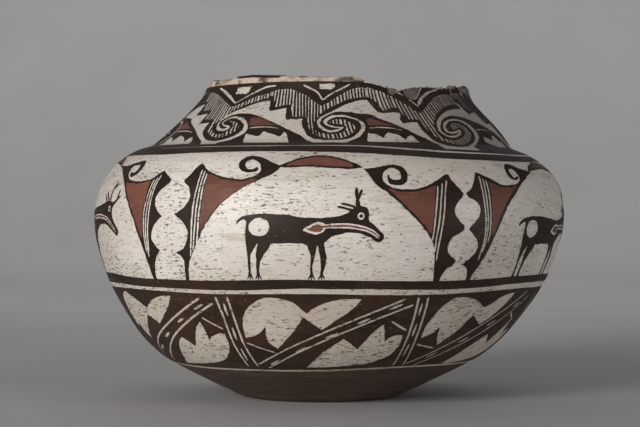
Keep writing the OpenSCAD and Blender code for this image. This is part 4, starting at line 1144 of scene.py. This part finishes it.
leaf_panel(band,
           [[[(-68.5, 53), (-68, 62), (-66.8, 70), (-64.7, 76), (-62, 78.6), (-60, 76.5), (-57, 72.5),
              (-54.2, 68)],
             [(-54.2, 68), (-51, 73), (-48, 76), (-45.4, 77), (-42.5, 77.2)],
             [(-42.5, 77.2), (-45, 70), (-48, 64), (-52, 57)], [(-52, 57), (-54.5, 61), (-56, 63)],
             [(-56, 63), (-58, 58), (-60.5, 52), (-62.8, 45.5)], [(-62.8, 45.5), (-64.8, 50), (-65, 56)],
             [(-65, 56), (-66.8, 54), (-68.5, 53)]],
            [[(-55.5, 28.9), (-53, 33), (-50.5, 39), (-48, 45), (-45.4, 48.8)],
             [(-45.4, 48.8), (-43.5, 45.5), (-41.7, 42.5)],
             [(-41.7, 42.5), (-40, 48), (-38, 55), (-35.6, 60.4)],
             [(-35.6, 60.4), (-35, 55), (-34.9, 47.5)],
             [(-34.9, 47.5), (-33, 50.5), (-30.5, 52.3), (-28.7, 52.5)],
             [(-28.7, 52.5), (-28.5, 46), (-29.3, 41), (-31, 37), (-34, 33.3), (-40, 30.7), (-50, 29.1),
              (-55.5, 28.9)]]],
           [[(-67, 33), (-60, 44), (-47, 59.3), (-33, 76.5)],
            [(-64.5, 29), (-50, 47), (-40, 59.8), (-29.5, 73)]],
           [(-60.5, 39.7), (-51.5, 49.5), (-42.5, 60.5), (-34.5, 70.2)],
           [[(-34.5, 63), (-31.5, 59), (-28.7, 55.5)]])
band.place = -LEAF_TURN, 1, 0
post(band, [(-28.3, 77.5), (-27.5, 65), (-27, 50), (-26.5, 40), (-25.7, 29.5)],
     [(-25, 77.5), (-24.2, 60), (-23.5, 45), (-22, 29.5)])
band.pieces([("field", "leaf_band", DARK, ["lower_band_paint"], "dark_paint")])

# Neck: hatched arches that run into scrolls, a wedge behind each scroll, and pendants from the rim
HATCHED_TOP = [[(-25.8, 215.4), (-24.4, 215.8), (-20.6, 216.5), (-18.1, 216.3), (-15.6, 214.5), (-13.3, 213),
                (-10.8, 211), (-8.9, 208.5), (-6.9, 206), (-5.3, 204.2)],
               [(-5.3, 204.2), (-3.3, 205.8), (-2.2, 207), (-0.6, 209.3), (1.1, 211.5), (3.3, 213.8),
                (5.6, 215.8), (7.5, 216.8), (9.7, 217.3), (11.7, 216.6)]]
HATCHED_LOW = [[(11.7, 210.3), (10, 210.3), (8.3, 210), (5.8, 209.3), (3.3, 207.8), (1.1, 205.8), (-0.8, 204),
                (-2.5, 202.3), (-4.2, 200), (-5.3, 198), (-6.1, 195.5), (-6.7, 193), (-7, 191), (-6.9, 190),
                (-6.4, 188.3), (-5.3, 186.3), (-3.3, 184.8), (-1.1, 184.3), (1.1, 184.5), (2.5, 185.5),
                (3.1, 187), (3.6, 188.5), (3.3, 190), (1.9, 191), (0, 191.3), (-1.9, 192.5)],
               [(-1.9, 192.5), (-1.1, 193.8), (0.6, 194.5), (2.8, 194.3), (4.4, 193), (5.8, 191),
                (6.4, 188.8), (6.1, 186.5), (5.3, 184.5), (3.9, 182.8), (1.9, 181.5), (-0.6, 181.3),
                (-2.8, 182), (-5, 183.3), (-6.4, 185), (-7.5, 187.3), (-8.3, 189.8), (-8.8, 192),
                (-9.3, 196.1)],
               [(-9.3, 196.1), (-14.4, 196.6)], [(-14.6, 197.2), (-15.6, 201.5), (-16.3, 205)],
               [(-17.8, 205.4), (-21.9, 203.5)], [(-22.2, 203.8), (-23.3, 207), (-24.4, 211.5)],
               [(-25.8, 211.8)]]
SCROLL_LOW = [[(-26.4, 209.6), (-25.1, 207.5), (-24.3, 203), (-23.6, 201)], [(-23.6, 201), (-17.8, 202.8)],
              [(-17.5, 202.5), (-16.9, 197), (-16.1, 194.5)],
              [(-16.1, 194.5), (-14.4, 194.9), (-10.8, 195.2)],
              [(-10.7, 194.5), (-10.6, 192), (-10, 189.5), (-9.2, 187), (-8.1, 184.5), (-6.7, 182.3),
               (-5, 181), (-3.3, 180.4), (-1, 180.2), (1, 180.2), (3.2, 180.5), (4.7, 181.2), (6.1, 183),
               (7.4, 185.5), (8.1, 187.8), (8.2, 189.8), (7.9, 191.8), (6.7, 193.8), (4.7, 195.3), (3.3, 196),
               (1.4, 196.3), (-0.6, 195.8), (-1.9, 194.3), (-2.6, 192.5), (-1.9, 191), (-0.6, 190),
               (0.8, 189.5), (2.6, 189.3)],
              [(2.8, 188.8), (2.4, 187.8), (1.4, 186.3), (0, 185.6), (-1.9, 185.8), (-3.9, 187.5),
               (-5.3, 190), (-5.8, 192.5), (-5.6, 195), (-4.4, 196.8), (-2.8, 198.8), (-0.6, 200.8),
               (1.1, 202.8), (3.3, 204.8), (5.8, 206.5), (8.9, 208), (11.9, 208.7)]]
CRESCENT_OUT = [(1.7, 188.3), (0.3, 188.5), (-1.1, 189), (-2.5, 190), (-3.5, 191.5), (-3.8, 193), (-3.2, 195),
                (-1.7, 196.8), (0.3, 197.5), (3.3, 197.4), (5.8, 195.8), (8.1, 193.8), (9.2, 191.8),
                (9.6, 189.8), (9.3, 187), (8.6, 184.5), (7.5, 182.3), (5.8, 180.3), (4.4, 178.5)]
CRESCENT_IN = [(7, 198.9), (3.1, 199.8), (1.1, 199.8), (-0.6, 199.3), (-2.2, 198), (-4.2, 195.5), (-4.7, 193),
               (-4.6, 191), (-3.3, 188.8), (-1.9, 187.3), (0, 187.1), (1.4, 187.8), (1.7, 188.3)]


# Hatching: heights between which a stroke is tried, below which it leans and below which it also curves
STROKE_HIGH, STROKE_LOW, LEAN_BELOW, CURVE_BELOW = 219, 177, 218, 198


def hatch(c, region, pitch, share):
    """Strokes side by side down through a region just left bare; pitch is in degrees, for its two ends."""
    loop = c.strokes[region][1]
    shift, stretch, _ = c.place
    z = np.arange(STROKE_HIGH, STROKE_LOW, -0.5)
    theta, end = loop[:, 0].min() / c.per_degree - 6, loop[:, 0].max() / c.per_degree + 2
    start = theta
    c.place = FRONT
    while theta < end:
        gap = np.interp(theta, [start + 6, end], pitch)
        lean = np.interp((theta - shift) / stretch, [-14, -8], [0.135, 0.06]) * stretch
        bow = c.rng.uniform(-0.12, 0.12)
        below = LEAN_BELOW - z
        way = theta + c.rng.normal() * gap * 0.05 + lean * below + bow * np.sin(below / 9)
        way = np.stack([way + 0.006 * np.clip(CURVE_BELOW - z, 0, 99) ** 2, z], -1)
        hit = inside(c.flat(way), loop)
        change = np.flatnonzero(np.diff(np.concatenate([[0], hit.astype(int), [0]])))
        for first, last in zip(change[::2], change[1::2]):
            if last - first < 2:
                continue
            some = way[max(first - 1, 0):last + 1][::4]
            some = np.vstack([some, way[min(last, len(way) - 1)]])
            wide = gap * share * c.per_degree * c.rng.uniform(0.86, 1.12)
            c.line("hatch", some, [wide, wide * c.rng.uniform(0.85, 1.1), wide], within=region, rough=0.05)
        theta += gap


SHAPES = dict(top=HATCHED_TOP, low=HATCHED_LOW, scroll=SCROLL_LOW, out=CRESCENT_OUT, into=CRESCENT_IN)


def neck_unit(c, place, top, red, stripe, patch, pitch=(1.25, 1.25), span=(-25.8, 11.7), shapes=SHAPES,
              share=0.55):
    """One scroll, the arch that runs into it and the wedge behind it, which is typed where it stands."""
    c.place = place
    c.fill("pendant", *shapes["top"], [(span[1], 224), (span[0], 224)], rough=0)
    edge = [(t, z) for run in shapes["top"][::-1] for t, z in run[::-1]]
    c.fill("scroll", *shapes["scroll"], edge)
    out, into = moved(place, shapes["out"]), moved(place, shapes["into"])
    c.place = FRONT
    c.fill("wedge", out, [(out[-1][0], 172), (top[-1][0] + 0.6, 172)], top[::-1] + into[:1], into)
    if red:
        c.fill("wedge_red", *red, rough=RED_ROUGH)
    c.line("bare", stripe, [1.3, 1.2, 0.5])
    c.fill("bare", *patch)
    c.place = place
    region = c.fill("bare", *shapes["top"], *shapes["low"], rough=0.06)
    hatch(c, region, pitch, share)
    c.place = FRONT


VEE = [(-13.6, 219.3), (-10, 216.3), (-7.8, 214.3), (-6.1, 211.3), (-4.9, 208.5), (-3.3, 210.8),
       (-1.4, 213.3), (0.6, 215.3), (2.8, 217.3), (5, 219.5)]
VEE_WIDTH = 1.5


def vee(c, top):
    """A pale line down between two arches and up again, and a lozenge over it that reaches up to a height."""
    c.line("bare", VEE, [VEE_WIDTH * 0.8, VEE_WIDTH, VEE_WIDTH * 0.8])
    c.fill("bare", [(-7.1, top), (-1.3, top), (-1.9, 216), (-6.8, 216.1)])


WEDGE_TOP = [(12, 198), (13.7, 196), (17.6, 192.8), (20.3, 190.5), (23.1, 187.8), (25.1, 185.5),
             (27.6, 182.8), (29.8, 180.5), (31.8, 178)]
WEDGE_RED = [(10.5, 190.5), (10.4, 194.9), (12.2, 195), (14.3, 193.3), (16.6, 191.8), (18.8, 190.5)]
WEDGE_LINE = [(10.8, 188.6), (14, 189), (18, 188.7), (21.7, 187.3)]
WEDGE_PATCH = [[(10.3, 185.3), (13, 184.2), (15.1, 181.8)], [(15.3, 182.8), (15.8, 184.4), (16.6, 185.8)],
               [(16.6, 185.8), (19.8, 184), (22.1, 181)], [(22.3, 182), (22.9, 183.2), (23.9, 184.3)],
               [(23.9, 184.3), (25.4, 181.4), (26.4, 178.9)], [(10.3, 178.9), (10, 182)]]
NECK_TOP = 220.6
neck = Canvas(lambda t: THIN_HIGH(t) - 0.6, lambda t: np.minimum(NECK_TOP, break_z(t) - 0.5), ALL_ROUND, 71,
              step=1.1)


def repeated_unit(c, place, pitch):
    """The middle unit in another place."""
    neck_unit(c, place, moved(place, WEDGE_TOP), [moved(place, WEDGE_RED)], moved(place, WEDGE_LINE),
              [moved(place, run) for run in WEDGE_PATCH], pitch)
    c.place = place
    vee(c, 219.4)


neck.drawn = on_neck
neck.plain = True
# Degrees of the six scrolls that repeat, and their stretch, so that nine go round
SCROLL_STRETCH = 1.0855
for shift in (81.96, 122.7, 163.4, 204.1 - 360, 244.8 - 360, -74.5):
    repeated_unit(neck, (shift, SCROLL_STRETCH, 0), (1.35, 1.35))
neck.plain = False

# The scroll on the right, drawn in its own way
RIGHT_SHAPES = dict(
    top=[[(11.6, 217.6), (13.1, 217), (15.6, 215.6), (17.1, 214.9), (18.5, 214.1), (20.1, 212.4),
          (21.4, 211.4), (22.8, 209.8), (24.2, 208.5), (25.6, 206.5), (27.1, 205.2), (28.2, 202.8),
          (29.4, 200.8), (30.5, 200)],
         [(30.5, 200), (31.4, 200.8), (32.6, 201.9), (33.9, 203.4), (35.3, 205), (36.4, 206.5), (38.1, 208),
          (39.8, 209.8), (41.4, 211.3), (43.1, 212.5), (45.3, 213.6), (47.8, 214.1), (50.9, 214.3),
          (53.2, 213.8)]],
    low=[[(53.2, 207.2), (50, 207.2), (47.2, 206.4), (44.1, 205), (41.5, 203.1), (39.1, 201), (37.3, 199),
          (35.5, 196.2), (34.2, 193.2), (33.5, 190), (33.5, 187), (34.2, 184.2), (35.6, 182.3), (37.3, 181.4),
          (39.5, 181.3), (41.9, 182.3), (44.2, 184.3), (45.6, 186.9), (45.6, 188.9), (44.6, 190.2),
          (43, 189.9), (41.7, 189.1), (40.4, 188.8)],
         [(40.2, 189.9), (40.7, 191.9), (42.2, 193.3), (44.3, 193.6), (46.2, 192.4), (47.6, 189.6),
          (48.1, 186.6), (47.4, 183.7), (45.6, 180.9), (43, 178.7), (40.4, 177.9), (38, 178.4), (35.2, 180.1),
          (32.5, 183.3), (30.7, 187), (29.6, 190.6), (29.2, 194.3)],
         [(28.9, 195.1), (24.2, 195.1)], [(23.7, 198), (23.2, 200.5), (23, 202.8)],
         [(22.7, 203.5), (21.4, 203.2), (20, 203), (18.7, 202), (17.1, 200.8)],
         [(16.7, 201), (15.9, 203.5), (14.8, 207), (13.2, 209.6), (11.6, 210.5)]],
    scroll=[[(11.6, 208.4), (12.2, 206.9), (12.8, 204.8), (13.7, 202.3), (14.5, 200.3)],
            [(15, 199.8), (17.3, 199.2), (20.6, 200), (22.4, 199.6)],
            [(22.6, 199), (22.3, 197), (21.7, 195.5), (22, 193.5), (22.7, 191.9)],
            [(22.7, 191.9), (23.9, 192.6), (25.3, 193), (26.7, 193.2), (27.8, 193)],
            [(27.8, 192.6), (28.3, 188.5), (29.3, 185.5), (30.7, 181.9), (33, 178.9), (35.2, 177.2),
             (38, 176.4), (40.7, 176.5), (43.5, 177.5), (46.3, 179.4), (48.5, 182.2), (49.6, 185.4),
             (49.7, 189), (48.6, 192.6), (46.6, 194.6), (44.2, 195.1), (41.7, 194.5), (39.4, 192.8),
             (38.2, 190.2), (38.4, 187.6), (39.6, 187), (41.7, 187.9), (43.4, 188.9)],
            [(44.2, 188.2), (43.4, 185.7), (41.4, 183.8), (39.3, 182.9), (37, 183.6), (35.2, 185.6),
             (34.5, 188.6), (35, 192.1), (36.4, 195.1), (38.5, 197.9), (41, 200.2), (44, 202.3),
             (47.8, 203.6), (50.9, 204.1), (53.2, 203.9)]],
    out=[(42.9, 187), (41, 186.1), (39.2, 185.8), (37.4, 186.5), (36.8, 188.5), (37.3, 191.2), (38.6, 193.6),
         (41, 195.6), (44.1, 196.6), (47.3, 196.1), (49.6, 194.5), (51.2, 192), (51.9, 188.5), (51.8, 184.5),
         (50.1, 181.6), (47.5, 178.4), (45, 176.8)],
    into=[(49.6, 198.1), (47.3, 198.6), (44.8, 198.7), (42, 197.9), (39.5, 196.4), (37.4, 193.8), (36.1, 191),
          (35.6, 188), (36.4, 185.7), (38.1, 184.6), (40, 184.7), (41.6, 185.6), (42.9, 187)])
neck_unit(neck, FRONT,
          [(52, 197), (54.5, 195.6), (58, 193.8), (62, 190.8), (66, 187.5), (70, 183), (73, 179)], None,
          [(52.5, 189.3), (56, 189.9), (60, 189.4), (64, 187.5)],
          [[(54.5, 185), (56.5, 184), (59, 182)], [(59.2, 183), (60.2, 185.2), (61.5, 186.2)],
           [(61.5, 186.2), (63.6, 184.4), (66, 181)], [(66.3, 182), (67.5, 182.6), (69, 178)],
           [(60, 177.4), (53.8, 181)]], (1.35, 1.45), (11.6, 53.2), RIGHT_SHAPES, 0.46)
neck.fill("bare", [(30.9, 204.2), (31.4, 206), (33.1, 209.5), (35, 212), (37.6, 214.5), (40.1, 216.3),
                   (42.6, 217.5), (45.1, 218.6)],
          [(46.4, 218.6), (43.9, 216.7), (41.2, 215.5), (38.7, 213.3), (35.9, 210.8), (34.2, 208),
           (32, 204.9), (31.2, 204)])
neck.line("bare", [(31.1, 204.8), (30.3, 206.6), (29.3, 208.3), (28.4, 209.5)], [1.5, 1.6, 1.3])
neck.line("bare", [(24, 214.5), (25.4, 213.6), (27, 212)], [0.9, 1.5, 0.9])

# The scroll on the left
LEFT_SHAPES = dict(
    top=[[(-61.8, 217.2), (-58.5, 216.2), (-54, 213.7), (-49.5, 210.7), (-45.5, 207.8), (-41.8, 204.7)],
         [(-41.8, 204.7), (-38.3, 207), (-36, 208.8), (-33, 211.3), (-29, 213.2), (-25.7, 214.6)]],
    low=[[(-25.7, 210.6), (-28, 209.9), (-31, 208.3), (-34.5, 206.4), (-37.5, 204.2), (-39.5, 201.6),
          (-40.8, 198.6), (-42, 195.8), (-43.2, 193.4), (-43.4, 191), (-42.2, 188.6), (-40, 186.1),
          (-37.8, 185.2), (-36, 185.8), (-34.8, 188), (-34.4, 190), (-34.9, 192.1), (-36.2, 193.6),
          (-37.4, 194.1)],
         [(-37.3, 194.6), (-35.6, 194.1), (-33.6, 192.8), (-32.1, 190.8), (-31.9, 188.5), (-32.7, 186),
          (-34.5, 183.7), (-37, 183), (-39.5, 183.8), (-42, 185.8), (-43.9, 188.2), (-44.8, 191.2),
          (-45, 194.5)],
         [(-45.3, 196.3), (-50.5, 196.5)], [(-50.8, 197), (-51.9, 202.8)], [(-52.1, 203.6), (-57.7, 203.1)],
         [(-57.8, 203.5), (-59.9, 210)], [(-61.8, 210.2)]],
    scroll=[[(-61.8, 208.3), (-61.1, 208.3)], [(-60.8, 207.5), (-59.7, 200.2)],
            [(-59.2, 200), (-52.4, 201.1)],
            [(-52.2, 200.5), (-52, 193.9)], [(-51.6, 193.6), (-46.6, 194.2)],
            [(-46.6, 194), (-46.6, 191), (-45.7, 187.5), (-43.7, 184.3), (-41.3, 182), (-38.7, 180.7),
             (-35.6, 180.6), (-33, 182.3), (-31, 184.3), (-29.9, 187.2), (-30.5, 191), (-32.3, 193.8),
             (-34.7, 195.8), (-36.8, 196.5), (-38.7, 195.6), (-39.6, 193.7), (-38.7, 192.2), (-37, 191.4),
             (-35.8, 190.7)],
            [(-35.2, 189.6), (-35.9, 188), (-37.3, 187.4), (-39.3, 188), (-41, 189.9), (-41.8, 192.5),
             (-42, 195), (-41.3, 197.8), (-40, 200.1), (-38, 202), (-35.5, 203.6), (-32.5, 205.8),
             (-30, 207.3), (-27.5, 208), (-25.7, 208.2)]],
    out=[(-36.4, 190.1), (-38.2, 190.8), (-39.7, 192), (-40.3, 194.2), (-39.8, 195.9), (-38.3, 197.3),
         (-35.8, 197.9), (-33.8, 197.2), (-31.7, 195.5), (-29.7, 192.8), (-28.3, 189.5), (-28.1, 186.5),
         (-29.2, 183.8), (-31.2, 181.3), (-34.3, 179.2)],
    into=[(-34.9, 199.6), (-37.5, 199.1), (-40, 197.4), (-41.1, 195.2), (-41.1, 192.6), (-40, 190.6),
          (-38, 189.2), (-36.4, 190.1)])
neck_unit(neck, FRONT,
          [(-33, 199.5), (-30.5, 199), (-27.4, 197.7), (-23.2, 194.9), (-18.2, 191.1), (-13.5, 186.9),
           (-9.5, 183), (-5.8, 178.6)],
          [[(-29.5, 195), (-28.1, 190.7)], [(-28, 190.6), (-23, 191), (-18.7, 190.4)],
           [(-18.9, 190.6), (-20.3, 191.8), (-22.7, 193.8), (-25.1, 195.7), (-27.3, 196.6), (-29, 196.4)]],
          [(-27.6, 189.2), (-24.5, 189.6), (-21.3, 189.6), (-17.4, 188.4)],
          [[(-27.4, 185.2), (-24.1, 183.7), (-22.8, 183.3)], [(-22.6, 183.9), (-22.1, 186.5)],
           [(-21.9, 186.6), (-18.8, 184.7), (-16.2, 182.9)], [(-15.8, 183.3), (-15.3, 185.8)],
           [(-15.1, 186), (-13.7, 183), (-12.1, 178.3)], [(-25.9, 178.6), (-26.9, 181), (-27.5, 184.8)]],
          (1.35, 1.3), (-61.8, -25.7), LEFT_SHAPES, 0.5)
neck_unit(neck, FRONT, WEDGE_TOP, [WEDGE_RED], WEDGE_LINE, WEDGE_PATCH)
vee(neck, 219.6)
neck.line("bare",
          [(-57, 219.8), (-52.8, 217.4), (-48.7, 214.2), (-45.3, 211.4), (-42.7, 209), (-40.8, 207.5)],
          [1, 1.9, 2.2, 1.9, 1.3])
neck.line("bare", [(-41, 207.5), (-36.8, 212.4), (-33, 215.8), (-29.5, 218.3), (-27, 218.9), (-25.2, 219)],
          [1.1, 1.2, 1.5, 1.6, 1])
neck.fill("bare", [(-44.2, 218.9), (-36.8, 219.3)], [(-36.8, 219.2), (-37.4, 216), (-38.1, 214.2)],
          [(-38.3, 214.1), (-43.9, 214.3)], [(-44.2, 214.8), (-44.2, 218.7)])
for spall in SPALLS:
    neck.fill("gone", spall, rough=0)
neck.pieces([("scroll", "scrolls", DARK, ["neck_scrolls"], "dark_paint"),
             ("hatch", "hatching", DARK, ["neck_hatching"], "dark_paint"),
             ("wedge", "wedges", DARK, ["neck_wedges"], "dark_paint"),
             ("wedge_red", "wedge_reds", RED, ["neck_wedge_red"], "red_paint"),
             ("pendant", "pendants", DARK, ["rim_pendants"], "dark_paint")])


# What is left of the dark paint on top of the lip: its thickness, and start, end and the angles over the lip
REMNANT_PAINT = 0.25
REMNANTS = [(-73, -69.5, 40, 110), (-51, -23.5, 42, 140), (-17, -14, 70, 120), (2, 6.5, 60, 125)]


def rim_remnant(start, end, low, high, count):
    """A thin patch over the rounded lip, from one angle over it to another."""
    theta = np.linspace(start, end, count)
    share = np.linspace(0, 1, 12)
    edge = waver(41, 6)
    grids = []
    for off in (REMNANT_PAINT, 0.0):
        columns = []
        for t in theta:
            outer, inner = surface(t, LIP_START)[0], surface(t, LIP_START, -WALL)[0]
            fade = np.clip(min(t - start, end - t) / 3, 0.15, 1)
            mid = (low + high) / 2
            reach = low + edge(t) - mid + (high - low - edge(t) + edge(t + 77)) * share
            angle = np.radians(mid + reach * fade)
            out = (outer - inner) / 2
            scale = 1 + off / LIP_R
            p = (outer + inner) / 2 + out * np.cos(angle)[:, None] * scale
            p[:, 2] += (LIP_R + float(lip_rise(t))) * MM * scale * np.sin(angle)
            columns.append(p)
        grids.append(np.array(columns))
    n = grids[0][..., 0].size
    grid = np.arange(n).reshape(grids[0].shape[:2])
    a, b, c, d = grid[:-1, :-1], grid[1:, :-1], grid[1:, 1:], grid[:-1, 1:]
    upper, under = (np.stack(corners, -1).reshape(-1, 4) for corners in ([a, b, c, d], [a, d, c, b]))
    rim = np.concatenate([grid[:, 0], grid[-1, 1:], grid[-2::-1, -1], grid[0, -2:0:-1]])
    walls = np.stack([rim, rim + n, np.roll(rim, -1) + n, np.roll(rim, -1)], -1)
    return np.vstack([g.reshape(-1, 3) for g in grids]), np.concatenate([upper, under + n, walls])


patches, faces, count = [], [], 0
for start, end, low, high in REMNANTS:
    points, quads = rim_remnant(start, end, low, high, int((end - start) * 1.3) + 4)
    patches.append(points)
    faces.append(quads + count)
    count += len(points)
patches = np.vstack(patches)
new_piece("lip_remnant", patches, np.vstack(faces).tolist(), DARK, ["rim_paint"], patches)

# Studio: a pale floor that sweeps up into a backdrop, a key and a fill in front, a small low light at the
# right, and lights above the jar and on the backdrop
run = spline([(-1.6, 0), (-0.4, 0), (0.8, 0), (1.9, 0), (2.5, 0.06), (2.95, 0.35), (3.15, 0.9), (3.2, 1.7),
              (3.2, 2.6)], 0.05)
FLOOR_SIDE, FLOOR_LINES = 3.2, 41
across = np.linspace(-FLOOR_SIDE, FLOOR_SIDE, FLOOR_LINES)
points = [(x, y, z) for y, z in run for x in across]
corners = [i * FLOOR_LINES + j for i in range(len(run) - 1) for j in range(FLOOR_LINES - 1)]
faces = [(k, k + 1, k + FLOOR_LINES + 1, k + FLOOR_LINES) for k in corners]
mesh = bpy.data.meshes.new("floor")
mesh.from_pydata(points, [], faces)
mesh.shade_smooth()
floor = bpy.data.objects.new("floor", mesh)
bpy.context.scene.collection.objects.link(floor)
s = Shader("floor")
place = s.node("ShaderNodeTexCoord").outputs["Object"]
soft = s.node("ShaderNodeTexNoise", {"Vector": place, "Scale": 3.0, "Detail": 3.0}).outputs[0]
grain = s.node("ShaderNodeTexNoise", {"Vector": place, "Scale": 900.0, "Detail": 2.0}).outputs[0]
colour = s.mix(s.step(soft, 0.3, 0.7), rgb(196, 195, 194), rgb(190, 189, 188))
s.bump([(grain, 0.0001)])
mesh.materials.append(s.finish(colour, s.step(soft, 0.3, 0.7, 0.75, 0.82), 0.3))


def area(name, place, size, power, aim=(0, 0, 0.12), tint=(1, 1, 1)):
    """A soft rectangular light; place, size and aim are in metres and power in watts."""
    light = bpy.data.lights.new(name, "AREA")
    light.shape = "RECTANGLE"
    light.size, light.size_y = size
    light.energy = power
    light.color = tint
    lamp = bpy.data.objects.new(name, light)
    lamp.location = place
    lamp.rotation_euler = (Vector(aim) - Vector(place)).to_track_quat("-Z", "Y").to_euler()
    bpy.context.scene.collection.objects.link(lamp)


area("key", (-1.38, -1.82, 0.55), (0.8, 0.9), 43, tint=(1, 0.99, 0.975))
area("fill", (1.6, -2.0, 0.7), (1.2, 1.2), 3)
area("side", (1.5, -0.42, 0.1), (0.14, 0.2), 3.8)
area("above", (0, 0.4, 2.3), (1.6, 1.2), 0.6)
area("backdrop", (0, 1.2, 2.2), (3, 0.8), 24, aim=(0, 3.2, 0.5))
SKY_TINT, SKY_STRENGTH = (0.75, 0.77, 0.8, 1), 0.1
world = bpy.data.worlds.new("world")
world.use_nodes = True
world.node_tree.nodes["Background"].inputs[0].default_value = SKY_TINT
world.node_tree.nodes["Background"].inputs[1].default_value = SKY_STRENGTH
bpy.context.scene.world = world

# The camera stands level in front of the foot. Its places and sight are in metres, its lens and sensor in
# millimetres, and its shift and the photograph's width in pixels
CAMERA_Y, CAMERA_Z = -1.451, 0.131
LENS, SENSOR = 112.5, 36
SEES_TO = 20
SHIFT_UP, PHOTO_WIDTH = 1.5, 640
camera = bpy.data.objects.new("camera", bpy.data.cameras.new("camera"))
camera.location = (FOOT_X * MM, CAMERA_Y, CAMERA_Z)
camera.rotation_euler = (math.radians(90), 0, 0)
camera.data.lens = LENS
camera.data.sensor_width = SENSOR
camera.data.shift_y = SHIFT_UP / PHOTO_WIDTH
camera.data.clip_end = SEES_TO
bpy.context.scene.collection.objects.link(camera)
bpy.context.scene.camera = camera
bpy.context.scene.view_settings.view_transform = "Standard"
